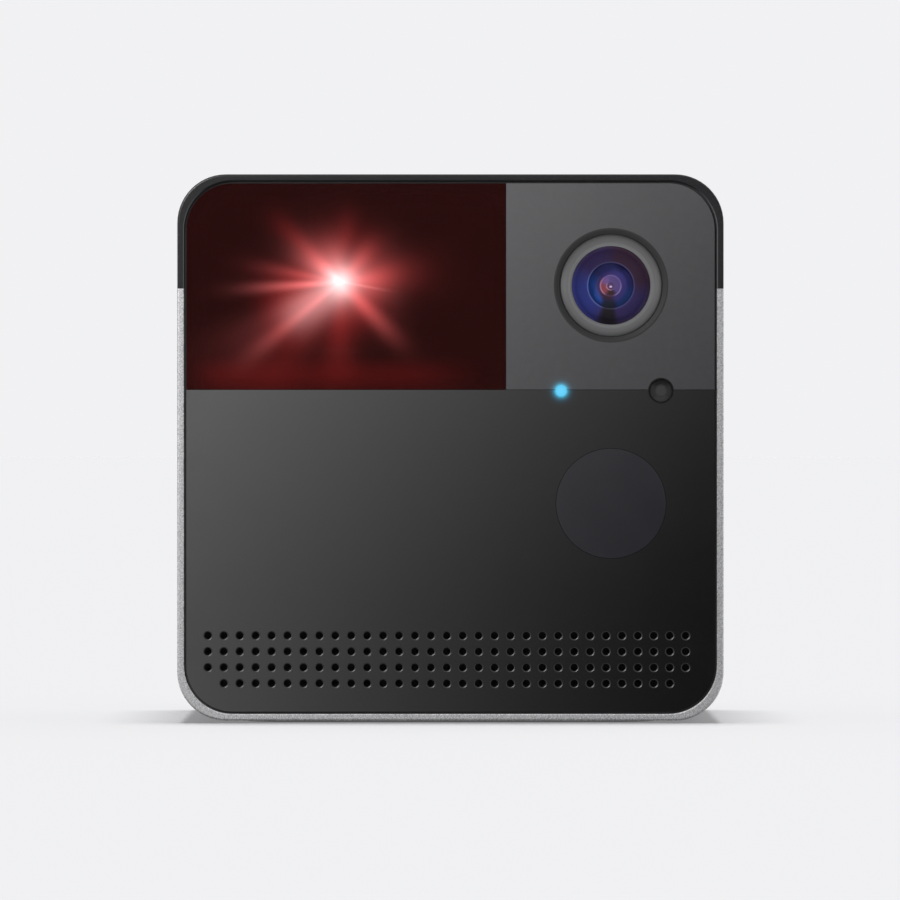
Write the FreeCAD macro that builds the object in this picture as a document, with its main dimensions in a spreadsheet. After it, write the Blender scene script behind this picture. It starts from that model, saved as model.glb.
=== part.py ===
import FreeCAD, Part
import math
import os
import re
import Sketcher

# A cube-shaped pet camera, in millimetres. X runs to the right, the front faces -Y, Z is up.
# The origin is on the surface that it stands on, under the middle of the body.
V = FreeCAD.Vector
doc = FreeCAD.newDocument("PetCamera")
sheet = doc.addObject("Spreadsheet::Sheet", "Sizes")

SIZES = [
    # Casing
    ("body_width", 82, "outer width of the sleeve"),
    ("body_depth", 82, "front rim to back rim"),
    ("body_height", 82, "underside of the sleeve to the top of the cap"),
    ("foot_proud", 0.4, "how far the foot pad stands below the sleeve"),
    ("corner_radius", 7.3, "outer corners, and the corners of the rim's opening"),
    ("wall", 1.6, "sleeve and cap wall"),
    ("rim", 1, "width of the thin rim at front and back"),
    ("rim_depth", 3, "depth of the rim's rebate"),
    ("edge_round", 0.3, "outer edge round of the rims"),
    ("rim_bevel", 0.15, "bevel inside the rims"),
    ("cap_height", 17.15, "height of the black cap"),
    ("tongue_drop", 4, "how far the cap's tongues reach into the sleeve"),
    ("tongue_thickness", 1.2, "thickness of those tongues"),
    ("tongue_half_length", 29, "half the length of those tongues"),
    # Front panels
    ("panel_recess", 0.2, "panel face behind the rim"),
    ("panel_thickness", 1.6, "front panels"),
    ("panel_gap", 0.36, "dark gap between rim and panel"),
    ("lip_recess", 0.6, "lip in that gap behind the rim"),
    ("seam", 0.06, "gap between two panels"),
    ("window_width", 47.94, "red window"),
    ("window_height", 30.94, "red window"),
    ("window_corner", 0.45, "inner lower corner of the red window"),
    ("ledge", 1.7, "frame ledge behind the edge of the window"),
    ("frame_plate", 1.8, "front frame plate"),
    ("frame_wall", 1.4, "perimeter wall of the front frame and back cover"),
    ("frame_reach", 11, "front frame wall behind the rim"),
    ("cloth_thickness", 0.3, "acoustic cloth"),
    # Sound holes
    ("hole_diameter", 1.1, "sound hole"),
    ("hole_mouth", 1.42, "countersink at the face"),
    ("hole_pitch", 2.39, "between sound holes"),
    ("hole_columns", 31, "in each of the three long rows"),
    ("hole_rows", 3, "long rows"),
    ("hole_top", 13.16, "height of the top row"),
    ("hole_shift", 0.56, "pattern's middle left of the body's middle"),
    # Lens
    ("lens_x", 24.1, "lens axis right of the middle"),
    ("lens_z", 65.73, "lens axis above the surface"),
    ("surround_radius", 8.6, "outside of the dark surround"),
    ("bezel_radius", 7.7, "outside of the grey ring"),
    ("glass_radius", 5.86, "front lens element"),
    ("barrel_radius", 6, "threaded barrel"),
    ("barrel_length", 15, "threaded barrel"),
    ("filter_travel", 5.4, "travel of the infrared filter"),
    ("board_thickness", 1, "small circuit boards"),
    # Infrared light and indicator
    ("ir_z", 33, "middle of the infrared window"),
    ("ir_radius", 8.24, "infrared window"),
    ("light_x", 16.6, "status light"),
    ("sensor_x", 31.6, "light sensor"),
    ("indicator_z", 49.9, "height of both"),
    ("light_radius", 0.8, "status light"),
    ("sensor_radius", 1.96, "light sensor window"),
    # Laser pointer
    ("laser_x", -16.4, "pan axis"),
    ("laser_y", -22, "pan axis"),
    ("laser_z", 66.25, "tilt axis"),
    ("laser_radius", 3, "laser module"),
    ("laser_length", 12, "laser module"),
    ("cradle_half", 4.6, "half width of the tilting cradle"),
    ("arm_inside", 5, "fork arm, inner face from the axis"),
    ("arm_thickness", 1.6, "fork arm"),
    ("pin_radius", 1, "tilt pins"),
    ("running", 0.05, "radial clearance of a running fit"),
    ("gear_width", 1.6, "face width of the gears"),
    ("pan_module", 0.4, "gear module"),
    ("pan_teeth", 48, "gear on the fork"),
    ("tilt_module", 0.3, "gear module"),
    ("tilt_teeth", 60, "gear on the cradle"),
    ("pinion_teeth", 16, "both pinions"),
    ("backlash", 0.06, "tooth thinning at the pitch circle"),
    ("deck_top", 43.8, "top of the laser deck"),
    ("deck_thickness", 2, "laser deck"),
    ("deck_screw_x", 36, "screws of the laser deck"),
    # Sound
    ("speaker_x", -14, "speaker axis"),
    ("speaker_z", 13.2, "speaker axis"),
    ("speaker_radius", 9.6, "speaker flange"),
    ("cone_radius", 5.6, "speaker cone"),
    ("mic_x", 22, "microphone"),
    ("mic_z", 10, "microphone"),
    # Back
    ("main_board_y", 29, "front face of the main board"),
    ("main_board_thickness", 1.6, "main board"),
    ("board_screw_x", 24, "main board screws"),
    ("board_screw_low", 11, "main board screws, lower pair"),
    ("board_screw_high", 58, "main board screws, upper pair"),
    ("boss_radius", 2.5, "bosses of the main board"),
    ("cover_thickness", 1.8, "back cover plate"),
    ("cover_recess", 0.4, "back cover behind the back rim"),
    ("plug_z", 14, "height of the power inlet"),
    ("plug_width", 12, "recess round the power inlet"),
    ("plug_height", 8, "recess round the power inlet"),
    ("plug_depth", 4.2, "recess round the power inlet"),
    ("reset_x", 13, "reset button"),
    ("reset_radius", 1.5, "reset button"),
    # Underside and fasteners
    ("pad_size", 62, "foot pad"),
    ("pad_thickness", 1, "foot pad"),
    ("pad_corner", 6, "foot pad"),
    ("thread_radius", 2.6, "core of a quarter inch tripod thread"),
    ("thread_length", 8, "tripod thread"),
    ("insert_radius", 5, "tripod insert"),
    ("screw_x", 34, "casing screws at front and back"),
    ("low_screw_z", 8, "lower casing screws"),
    ("high_screw_z", 76.4, "upper casing screws"),
    ("base_x", 28, "underside screws"),
    ("base_front", -8, "underside screws, front pair"),
    ("base_back", 22, "underside screws, back pair"),
    ("flat_screw_radius", 1, "casing screws"),
    ("flat_head_radius", 1.9, "casing screws"),
    ("pan_screw_radius", 0.8, "inner screws"),
    ("pan_head_radius", 1.5, "inner screws"),
    ("pan_screw_length", 3.5, "inner screws"),
]

for row, (alias, size, note) in enumerate(SIZES, 1):
    sheet.set("A%d" % row, note)
    sheet.set("B%d" % row, str(size))
    sheet.setAlias("B%d" % row, alias)
doc.recompute()

WORD = re.compile(r"\b(" + "|".join(alias for alias, size, note in SIZES) + r")\b")


def bound(text):
    """The expression of a size, with each name looked up in the sheet."""
    return WORD.sub(r"Sizes.\1", str(text))


def value(text):
    return float(sheet.evalExpression(bound(text)))


# Planes and heights that several pieces share, as expressions of the named sizes.
HALF = "(body_width / 2)"
BASE = "foot_proud"
TOP = "(foot_proud + body_height)"
SPLIT = "(foot_proud + body_height - cap_height)"
INNER = "(body_width / 2 - wall)"
FLOOR = "(foot_proud + wall)"
CEILING = "(foot_proud + body_height - wall)"
INNER_RADIUS = "(corner_radius - wall)"
FRONT = "(-body_depth / 2)"
BACK = "(body_depth / 2)"
SHOULDER = "(rim_depth - body_depth / 2)"
BACK_SHOULDER = "(body_depth / 2 - rim_depth)"
PANEL_FACE = "(panel_recess - body_depth / 2)"
PANEL_BACK = "(panel_recess + panel_thickness - body_depth / 2)"
FRAME_BACK = "(panel_recess + panel_thickness + frame_plate - body_depth / 2)"
FRAME_END = "(frame_reach - body_depth / 2)"
PANEL_HALF = "(body_width / 2 - rim - panel_gap)"
PANEL_LOW = "(foot_proud + rim + panel_gap)"
PANEL_HIGH = "(foot_proud + body_height - rim - panel_gap)"
PANEL_RADIUS = "(corner_radius - panel_gap)"
WINDOW_RIGHT = "(window_width - body_width / 2 + rim + panel_gap)"
WINDOW_LOW = "(foot_proud + body_height - rim - panel_gap - window_height)"
BOARD_FACE = "(panel_recess + panel_thickness + frame_plate + 1.4 - body_depth / 2)"
DECK_UNDER = "(deck_top - deck_thickness)"
COVER_FACE = "(body_depth / 2 - cover_recess)"
COVER_INNER = "(body_depth / 2 - cover_recess - cover_thickness)"
COVER_END = "(body_depth / 2 - 9)"
BOARD_BACK = "(main_board_y + main_board_thickness)"
PAN_DISTANCE = "(pan_module * (pan_teeth + pinion_teeth) / 2)"
TILT_DISTANCE = "(tilt_module * (tilt_teeth + pinion_teeth) / 2)"
TILT_MOTOR_Z = "(laser_z - %s)" % TILT_DISTANCE
PAN_MOTOR_Y = "(laser_y + %s)" % PAN_DISTANCE
YOKE_LOW = "(deck_top + 3.6)"
YOKE_FLOOR = "(deck_top + 5.4)"
TILT_GEAR_X = "(laser_x + arm_inside + arm_thickness + 0.4)"
SENSOR_BOARD_FACE = "(panel_recess + panel_thickness + frame_plate + 17.8 - body_depth / 2)"

ROLES = {"XY": "XY_Plane", "XZ": "XZ_Plane", "YZ": "YZ_Plane"}
ALONG_X = FreeCAD.Rotation(V(0, 1, 0), 90)
ALONG_Y = FreeCAD.Rotation(V(1, 0, 0), -90)
ALONG_Z = FreeCAD.Rotation()


def place(item, at, turn=ALONG_Z):
    """Turn a piece, and bind the place of its own origin to named sizes."""
    item.Placement = FreeCAD.Placement(V(), turn)
    for letter, text in zip("xyz", at):
        item.setExpression("Placement.Base." + letter, bound(text))


def pin(sketch, geometry, vertex, x, y):
    """Tie a point of a sketch to named sizes."""
    for kind, text in (("DistanceX", x), ("DistanceY", y)):
        rule = Sketcher.Constraint(kind, -1, 1, geometry, vertex, value(text))
        index = sketch.addConstraint(rule)
        sketch.setExpression("Constraints[%d]" % index, bound(text))


def fix_radius(sketch, geometry, radius):
    index = sketch.addConstraint(Sketcher.Constraint("Radius", geometry, value(radius)))
    sketch.setExpression("Constraints[%d]" % index, bound(radius))


def draw_circle(sketch, x, y, radius):
    circle = Part.Circle(V(value(x), value(y), 0), V(0, 0, 1), value(radius))
    index = sketch.addGeometry(circle)
    pin(sketch, index, 3, x, y)
    fix_radius(sketch, index, radius)


def offset_text(text, step, radius):
    """A coordinate moved one radius along a side of the outline."""
    sign = "+" if step > 0 else "-"
    return "(%s) %s (%s)" % (text, sign, radius)


def draw_outline(sketch, corners):
    """Closed outline through corners (x, y) or (x, y, radius). A corner with a radius is square."""
    count = len(corners)
    flat = [V(value(corner[0]), value(corner[1]), 0) for corner in corners]
    entries, exits, arcs = [], [], {}
    for i, corner in enumerate(corners):
        if len(corner) == 2:
            entries.append(flat[i])
            exits.append(flat[i])
            continue
        before = (flat[i - 1] - flat[i]).normalize()
        after = (flat[(i + 1) % count] - flat[i]).normalize()
        radius = value(corner[2])
        centre = flat[i] + (before + after) * radius
        entries.append(flat[i] + before * radius)
        exits.append(flat[i] + after * radius)
        start, end = [math.atan2(p.y - centre.y, p.x - centre.x) for p in (entries[i], exits[i])]
        forward = (end - start) % (2 * math.pi) < math.pi
        if not forward:
            start, end = end, start
        circle = Part.Circle(centre, V(0, 0, 1), radius)
        arc = sketch.addGeometry(Part.ArcOfCircle(circle, start, end))
        way = before + after
        pin(sketch, arc, 3,
            offset_text(corner[0], way.x, corner[2]), offset_text(corner[1], way.y, corner[2]))
        fix_radius(sketch, arc, corner[2])
        arcs[i] = (arc, 1 if forward else 2, 2 if forward else 1)
    lines = []
    for i in range(count):
        lines.append(sketch.addGeometry(Part.LineSegment(exits[i], entries[(i + 1) % count])))
    for i in range(count):
        before, after = lines[i - 1], lines[i]
        if i in arcs:
            arc, entry, leave = arcs[i]
            sketch.addConstraint(Sketcher.Constraint("Tangent", before, 2, arc, entry))
            sketch.addConstraint(Sketcher.Constraint("Tangent", after, 1, arc, leave))
        else:
            sketch.addConstraint(Sketcher.Constraint("Coincident", before, 2, after, 1))
            pin(sketch, after, 1, corners[i][0], corners[i][1])


def rectangle(x0, x1, y0, y1, radius=None):
    corners = [(x0, y0), (x1, y0), (x1, y1), (x0, y1)]
    if radius is None:
        return corners
    return [corner + (radius,) for corner in corners]


def new_sketch(body, plane, at, shapes):
    """Sketch across an axis of the body, at a place along that axis."""
    sketch = body.newObject("Sketcher::SketchObject", body.Name + "_sketch")
    feature = [item for item in body.Origin.OriginFeatures if item.Role == ROLES[plane]][0]
    sketch.AttachmentSupport = (feature, [""])
    sketch.MapMode = "FlatFace"
    away = "-(%s)" % at if plane == "XZ" else at
    sketch.setExpression("AttachmentOffset.Base.z", bound(away))
    for shape in shapes:
        if shape[0] == "circle":
            draw_circle(sketch, *shape[1:])
        else:
            draw_outline(sketch, shape)
    return sketch


def new_body(label):
    body = doc.addObject("PartDesign::Body", label)
    body.Label = label
    return body


def grow(body, plane, start, end, shapes):
    """Add material from one place along the axis to another."""
    pad = body.newObject("PartDesign::Pad", body.Name + "_pad")
    pad.Profile = new_sketch(body, plane, start, shapes)
    pad.setExpression("Length", bound("(%s) - (%s)" % (end, start)))
    pad.Reversed = plane == "XZ"
    doc.recompute()
    return pad


def cut(body, plane, start, end, shapes):
    """Take material away from one place along the axis to another."""
    before = body.Shape.Volume
    pocket = body.newObject("PartDesign::Pocket", body.Name + "_pocket")
    pocket.Profile = new_sketch(body, plane, start, shapes)
    pocket.setExpression("Length", bound("(%s) - (%s)" % (end, start)))
    pocket.Reversed = plane != "XZ"
    doc.recompute()
    if body.Shape.Volume > before - 1e-4:
        raise RuntimeError("a pocket of %s took nothing away" % body.Label)
    return pocket


def turned(label, profile, at, turn=ALONG_Z):
    """Piece turned about its own axis. The profile is radius and place along that axis."""
    body = new_body(label)
    revolution = body.newObject("PartDesign::Revolution", label + "_turned")
    sketch = new_sketch(body, "XZ", "0", [])
    draw_profile(sketch, profile)
    revolution.Profile = sketch
    revolution.ReferenceAxis = (sketch, ["V_Axis"])
    revolution.Angle = 360
    place(body, at, turn)
    doc.recompute()
    return body


def draw_profile(sketch, profile):
    """Closed profile. A third entry bends the run to the next point: its radius, minus to bend left."""
    flat = [V(value(point[0]), value(point[1]), 0) for point in profile]
    count = len(profile)
    sides = []
    for i, point in enumerate(profile):
        start, end = flat[i], flat[(i + 1) % count]
        if len(point) == 2:
            sides.append((sketch.addGeometry(Part.LineSegment(start, end)), 1, 2))
            continue
        radius = abs(value(point[2]))
        chord = end - start
        right = V(chord.y, -chord.x, 0).normalize()
        bend = 1 if value(point[2]) > 0 else -1
        sag = radius - math.sqrt(radius ** 2 - chord.Length ** 2 / 4)
        centre = (start + end) * 0.5 - right * bend * (radius - sag)
        first = math.atan2(start.y - centre.y, start.x - centre.x)
        last = math.atan2(end.y - centre.y, end.x - centre.x)
        circle = Part.Circle(centre, V(0, 0, 1), radius)
        ends = (first, last) if bend > 0 else (last, first)
        arc = sketch.addGeometry(Part.ArcOfCircle(circle, *ends))
        fix_radius(sketch, arc, "abs(%s)" % point[2])
        sides.append((arc, 1, 2) if bend > 0 else (arc, 2, 1))
    for i in range(count):
        before, after = sides[i - 1], sides[i]
        sketch.addConstraint(Sketcher.Constraint("Coincident", before[0], before[2], after[0], after[1]))
        pin(sketch, after[0], after[1], profile[i][0], profile[i][1])


def block(label, x0, x1, y0, y1, z0, z1):
    box = doc.addObject("Part::Box", label)
    box.Label = label
    box.setExpression("Length", bound("(%s) - (%s)" % (x1, x0)))
    box.setExpression("Width", bound("(%s) - (%s)" % (y1, y0)))
    box.setExpression("Height", bound("(%s) - (%s)" % (z1, z0)))
    place(box, (x0, y0, z0))
    return box


def joined(label, items):
    fuse = doc.addObject("Part::MultiFuse", label)
    fuse.Label = label
    fuse.Shapes = items
    return fuse


def group(label, items):
    compound = doc.addObject("Part::Compound", label)
    compound.Label = label
    compound.Links = items
    return compound


def copies(label, master, places):
    """One piece at several places, as separate solids of one group. A place may be turned."""
    links = []
    for index, (at, turn) in enumerate(places):
        link = doc.addObject("App::Link", "%s_%d" % (label, index + 1))
        link.LinkedObject = master
        place(link, at, turn)
        links.append(link)
    return group(label, links)


def edges_of(body, wanted):
    """Names of the edges of a body that a test picks."""
    edges = body.Shape.Edges
    return ["Edge%d" % (index + 1) for index, edge in enumerate(edges) if wanted(edge)]


def in_rim_plane(edge):
    ends = [point.y for point in edge.discretize(3)]
    return all(abs(abs(y) - value(BACK)) < 1e-6 for y in ends)


def on_outside(edge):
    """Whether an edge of the rim follows the outer outline of the body."""
    middle = edge.discretize(3)[1]
    half, radius = value(HALF), value("corner_radius")
    x = abs(middle.x)
    z = abs(middle.z - value(BASE) - value("body_height") / 2)
    reach = math.hypot(max(x - half + radius, 0), max(z - half + radius, 0))
    return reach > radius - value("rim") / 2


def soften_rims(body):
    """Bevel the inner edge of the front and back rims, and round the outer one."""
    inner = edges_of(body, lambda e: in_rim_plane(e) and e.Length > value("wall") and not on_outside(e))
    dress(body, "PartDesign::Chamfer", "Size", "rim_bevel", inner)
    outer = edges_of(body, lambda e: in_rim_plane(e) and e.Length > value("wall") and on_outside(e))
    dress(body, "PartDesign::Fillet", "Radius", "edge_round", outer)


def dress(body, kind, size_name, size, edges):
    base = body.Tip
    feature = body.newObject(kind, "%s_%s" % (body.Name, size))
    feature.Base = (base, edges)
    feature.setExpression(size_name, bound(size))
    body.Tip = feature
    doc.recompute()


def countersink(body, sketch, diameter, mouth, reverse):
    hole = body.newObject("PartDesign::Hole", body.Name + "_hole")
    hole.Profile = sketch
    doc.recompute()
    hole.setExpression("Diameter", bound(diameter))
    hole.DepthType = "ThroughAll"
    hole.HoleCutType = "Countersink"
    hole.setExpression("HoleCutDiameter", bound(mouth))
    hole.HoleCutCountersinkAngle = 90
    hole.Reversed = reverse
    doc.recompute()
    return hole


# Casing

def u_section(out, low, inside, radius, inner_radius, top):
    """Closed U outline: outer half width and bottom, wall thickness, and the height of its ends."""
    return [
        ("-(%s)" % out, top), ("-(%s)" % out, low, radius), (out, low, radius), (out, top),
        ("(%s) - (%s)" % (out, inside), top),
        ("(%s) - (%s)" % (out, inside), "(%s) + (%s)" % (low, inside), inner_radius),
        ("(%s) - (%s)" % (inside, out), "(%s) + (%s)" % (low, inside), inner_radius),
        ("(%s) - (%s)" % (inside, out), top),
    ]


def make_sleeve():
    body = new_body("body_sleeve")
    grow(body, "XZ", FRONT, BACK, [u_section(HALF, BASE, "wall", "corner_radius", INNER_RADIUS, SPLIT)])
    side = "(%s) - rim" % HALF
    low = "%s + rim" % BASE
    opening = [
        ("-(%s)" % side, SPLIT), ("-(%s)" % side, low, "corner_radius"),
        (side, low, "corner_radius"), (side, SPLIT),
    ]
    cut(body, "XZ", FRONT, SHOULDER, [opening])
    cut(body, "XZ", BACK_SHOULDER, BACK, [opening])
    pad = rectangle("-pad_size / 2", "pad_size / 2", "-pad_size / 2", "pad_size / 2", "pad_corner")
    cut(body, "XY", BASE, "pad_thickness", [pad])
    cut(body, "XY", BASE, FLOOR, [("circle", "0", "0", "insert_radius")])
    holes = [("circle", x, y, "flat_screw_radius") for x, y in base_screw_places()]
    countersink(body, new_sketch(body, "XY", "pad_thickness", holes),
                "2 * flat_screw_radius", "2 * flat_head_radius", True)
    soften_rims(body)


def make_cap():
    body = new_body("top_cover")
    arch = [
        (HALF, SPLIT), (HALF, TOP, "corner_radius"), ("-" + HALF, TOP, "corner_radius"), ("-" + HALF, SPLIT),
        ("-" + INNER, SPLIT), ("-" + INNER, CEILING, INNER_RADIUS), (INNER, CEILING, INNER_RADIUS),
        (INNER, SPLIT),
    ]
    grow(body, "XZ", FRONT, BACK, [arch])
    side = "(%s) - rim" % HALF
    high = "%s - rim" % TOP
    opening = [
        (side, SPLIT), (side, high, "corner_radius"), ("-(%s)" % side, high, "corner_radius"),
        ("-(%s)" % side, SPLIT),
    ]
    cut(body, "XZ", FRONT, SHOULDER, [opening])
    cut(body, "XZ", BACK_SHOULDER, BACK, [opening])
    tongues = [
        rectangle("%s - tongue_thickness" % INNER, INNER, "%s - tongue_drop" % SPLIT, "%s + 2" % SPLIT),
        rectangle("-" + INNER, "tongue_thickness - %s" % INNER,
                  "%s - tongue_drop" % SPLIT, "%s + 2" % SPLIT),
    ]
    grow(body, "XZ", "-tongue_half_length", "tongue_half_length", tongues)
    grow(body, "XZ", "26", "%s - 7.2" % COVER_INNER, rear_lugs("high_screw_z - 3", CEILING))
    grow(body, "XZ", "26", COVER_INNER, rear_lugs("high_screw_z - 3", "high_screw_z + 1.6"))
    cut(body, "XZ", "30", COVER_INNER, screw_circles("high_screw_z", "flat_screw_radius"))
    soften_rims(body)


def base_screw_places():
    return [(x, y) for x in ("-base_x", "base_x") for y in ("base_front", "base_back")]


def main_board_screw_places():
    return [(x, z) for x in ("-board_screw_x", "board_screw_x")
            for z in ("board_screw_low", "board_screw_high")]


def rear_lugs(low, high):
    return [
        rectangle("screw_x - 2.6", "screw_x + 2.6", low, high),
        rectangle("-screw_x - 2.6", "-screw_x + 2.6", low, high),
    ]


def screw_circles(z, radius):
    return [("circle", "screw_x", z, radius), ("circle", "-screw_x", z, radius)]


def wall_ring(out, low, high, radius, thickness):
    """A perimeter wall, as its outer and inner outline."""
    inner = "(%s) - (%s)" % (out, thickness)
    return [
        rectangle("-(%s)" % out, out, low, high, radius),
        rectangle("-(%s)" % inner, inner, "(%s) + (%s)" % (low, thickness),
                  "(%s) - (%s)" % (high, thickness), "(%s) - (%s)" % (radius, thickness)),
    ]


def make_back_cover():
    body = new_body("rear_cover")
    side = "%s - rim" % HALF
    plate = rectangle("-(%s)" % side, side, "%s + rim" % BASE, "%s - rim" % TOP, "corner_radius")
    grow(body, "XZ", BACK_SHOULDER, COVER_FACE, [plate])
    hollow = rectangle("frame_wall - %s" % INNER, "%s - frame_wall" % INNER, "%s + frame_wall" % FLOOR,
                       "%s - frame_wall" % CEILING, "%s - frame_wall" % INNER_RADIUS)
    cut(body, "XZ", BACK_SHOULDER, COVER_INNER, [hollow])
    grow(body, "XZ", COVER_END, BACK_SHOULDER, wall_ring(INNER, FLOOR, CEILING, INNER_RADIUS, "frame_wall"))
    posts = [("circle", x, z, "boss_radius") for x, z in main_board_screw_places()]
    grow(body, "XZ", BOARD_BACK, COVER_INNER, posts)
    pilots = [("circle", x, z, "pan_screw_radius") for x, z in main_board_screw_places()]
    cut(body, "XZ", BOARD_BACK, "%s + 3" % BOARD_BACK, pilots)
    outer = rectangle("-plug_width / 2 - 1.2", "plug_width / 2 + 1.2",
                      "plug_z - plug_height / 2 - 1.2", "plug_z + plug_height / 2 + 1.2", "3")
    recess = rectangle("-plug_width / 2", "plug_width / 2",
                       "plug_z - plug_height / 2", "plug_z + plug_height / 2", "1.8")
    socket = rectangle("-4", "4", "plug_z - 1.6", "plug_z + 1.6", "0.5")
    floor = "%s - plug_depth" % COVER_FACE
    grow(body, "XZ", "%s - 1" % floor, COVER_INNER, [outer])
    cut(body, "XZ", floor, COVER_FACE, [recess])
    cut(body, "XZ", "%s - 1" % floor, floor, [socket])
    cut(body, "XZ", COVER_INNER, COVER_FACE, [("circle", "reset_x", "plug_z", "reset_radius + 0.1")])
    holes = screw_circles("low_screw_z", "flat_screw_radius")
    holes += screw_circles("high_screw_z", "flat_screw_radius")
    countersink(body, new_sketch(body, "XZ", COVER_FACE, holes),
                "2 * flat_screw_radius", "2 * flat_head_radius", True)


def make_front_frame():
    body = new_body("front_frame")
    side = "%s - rim" % HALF
    low, high = "%s + rim" % BASE, "%s - rim" % TOP
    grow(body, "XZ", PANEL_BACK, SHOULDER, [rectangle("-(%s)" % side, side, low, high, "corner_radius")])
    grow(body, "XZ", SHOULDER, FRAME_BACK, [rectangle("-" + INNER, INNER, FLOOR, CEILING, INNER_RADIUS)])
    grow(body, "XZ", "lip_recess - body_depth / 2", PANEL_BACK,
         wall_ring(side, low, high, "corner_radius", "panel_gap"))
    grow(body, "XZ", FRAME_BACK, FRAME_END, wall_ring(INNER, FLOOR, CEILING, INNER_RADIUS, "frame_wall"))
    window = rectangle("ledge - %s" % PANEL_HALF, "%s - ledge" % WINDOW_RIGHT,
                       "%s + ledge" % WINDOW_LOW, "%s - ledge" % PANEL_HIGH, "3")
    openings = [
        window,
        ("circle", "lens_x", "lens_z", "bezel_radius + 0.2"),
        ("circle", "light_x", "indicator_z", "light_radius + 0.05"),
        ("circle", "sensor_x", "indicator_z", "sensor_radius - 0.7"),
        ("circle", "lens_x", "ir_z", "ir_radius - 1.2"),
        rectangle("speaker_x - 14", "speaker_x + 14", "hole_top - 8.2", "hole_top + 1", "1"),
        ("circle", "mic_x", "mic_z", "1.5"),
    ]
    cut(body, "XZ", PANEL_BACK, FRAME_BACK, openings)
    cut(body, "XZ", PANEL_BACK, "%s + cloth_thickness" % PANEL_BACK, [cloth_outline()])
    studs = board_screw_places()
    grow(body, "XZ", FRAME_BACK, BOARD_FACE, [("circle", x, z, "1.7") for x, z in studs])
    grow(body, "XZ", FRAME_BACK, FRAME_END + " + 0.4", screw_circles("low_screw_z", "2.4"))
    pilots = [("circle", x, z, "pan_screw_radius") for x, z in studs + bracket_screw_places()]
    cut(body, "XZ", "%s + 0.1" % PANEL_BACK, BOARD_FACE, pilots)
    cut(body, "XZ", FRAME_END + " - 2", FRAME_END + " + 0.4",
        screw_circles("low_screw_z", "pan_screw_radius"))


def cloth_outline():
    return rectangle("-37.6 - hole_shift", "37.6 - hole_shift", "hole_top - 8.6", "hole_top + 1.4", "1")


def board_screw_places():
    """Screws of the infrared board and of the indicator board, across the front."""
    return [
        ("lens_x - 7.2", "ir_z + 7.6"), ("lens_x + 7.2", "ir_z - 7.6"),
        ("light_x - 3", "indicator_z"), ("sensor_x + 3.8", "indicator_z"),
    ]


def bracket_screw_places():
    return [("lens_x + %s" % x, "lens_z + %s" % z)
            for x in ("11.6", "-11.6") for z in ("10.2", "-10.2")]


def make_chassis():
    body = new_body("chassis")
    start, end = "%s + 0.4" % FRAME_END, "%s - 0.4" % COVER_END
    tray = u_section(INNER, FLOOR, "wall", INNER_RADIUS, "corner_radius - 2 * wall", "60")
    grow(body, "XZ", start, end, [tray])
    reach = "%s - wall" % INNER
    ledges = [
        rectangle("%s - 3.4" % reach, reach, "%s - 2" % DECK_UNDER, DECK_UNDER),
        rectangle("-(%s)" % reach, "3.4 - (%s)" % reach, "%s - 2" % DECK_UNDER, DECK_UNDER),
    ]
    grow(body, "XZ", start, "4", ledges)
    cut(body, "XY", "%s - 2" % DECK_UNDER, DECK_UNDER,
        [("circle", x, y, "pan_screw_radius") for x, y in deck_screw_places()])
    grow(body, "XZ", "26", end, rear_lugs("%s + wall" % FLOOR, "low_screw_z + 3"))
    grow(body, "XZ", end, COVER_INNER, rear_lugs("low_screw_z - 3", "low_screw_z + 3"))
    cut(body, "XZ", "30", COVER_INNER, screw_circles("low_screw_z", "flat_screw_radius"))
    grow(body, "XZ", start, "%s + 2" % start, rear_lugs("%s + wall" % FLOOR, "low_screw_z + 3"))
    cut(body, "XZ", start, "%s + 2" % start, screw_circles("low_screw_z", "pan_screw_radius"))
    bosses = [("circle", x, y, "2.6") for x, y in base_screw_places()]
    bosses += [("circle", "0", "0", "insert_radius + 1.6")]
    grow(body, "XY", "%s + wall" % FLOOR, "8.4", bosses)
    pilots = [("circle", x, y, "flat_screw_radius") for x, y in base_screw_places()]
    pilots += [("circle", "0", "0", "insert_radius")]
    cut(body, "XY", FLOOR, "8.4", pilots)


def deck_screw_places():
    return [(x, y) for x in ("-deck_screw_x", "deck_screw_x") for y in ("-24", "-2")]


# Front panels

def make_panels():
    window = new_body("laser_window")
    grow(window, "XZ", PANEL_FACE, PANEL_BACK, [[
        ("-" + PANEL_HALF, WINDOW_LOW), (WINDOW_RIGHT, WINDOW_LOW, "window_corner"),
        (WINDOW_RIGHT, PANEL_HIGH), ("-" + PANEL_HALF, PANEL_HIGH, PANEL_RADIUS)]])

    edge_holes = [
        ("circle", "light_x", "indicator_z", "light_radius"),
        ("circle", "sensor_x", "indicator_z", "sensor_radius"),
    ]
    camera = new_body("camera_panel")
    grow(camera, "XZ", PANEL_FACE, PANEL_BACK, [[
        ("%s + seam" % WINDOW_RIGHT, WINDOW_LOW), (PANEL_HALF, WINDOW_LOW),
        (PANEL_HALF, PANEL_HIGH, PANEL_RADIUS), ("%s + seam" % WINDOW_RIGHT, PANEL_HIGH)]])
    lens_hole = ("circle", "lens_x", "lens_z", "surround_radius")
    cut(camera, "XZ", PANEL_FACE, PANEL_BACK, [lens_hole] + edge_holes)

    panel = new_body("lower_panel")
    grow(panel, "XZ", PANEL_FACE, PANEL_BACK, [[
        ("-" + PANEL_HALF, PANEL_LOW, PANEL_RADIUS), (PANEL_HALF, PANEL_LOW, PANEL_RADIUS),
        (PANEL_HALF, "%s - seam" % WINDOW_LOW), ("-" + PANEL_HALF, "%s - seam" % WINDOW_LOW)]])
    cut(panel, "XZ", PANEL_FACE, PANEL_BACK, [("circle", "lens_x", "ir_z", "ir_radius + seam")] + edge_holes)
    perforate(panel)


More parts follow.
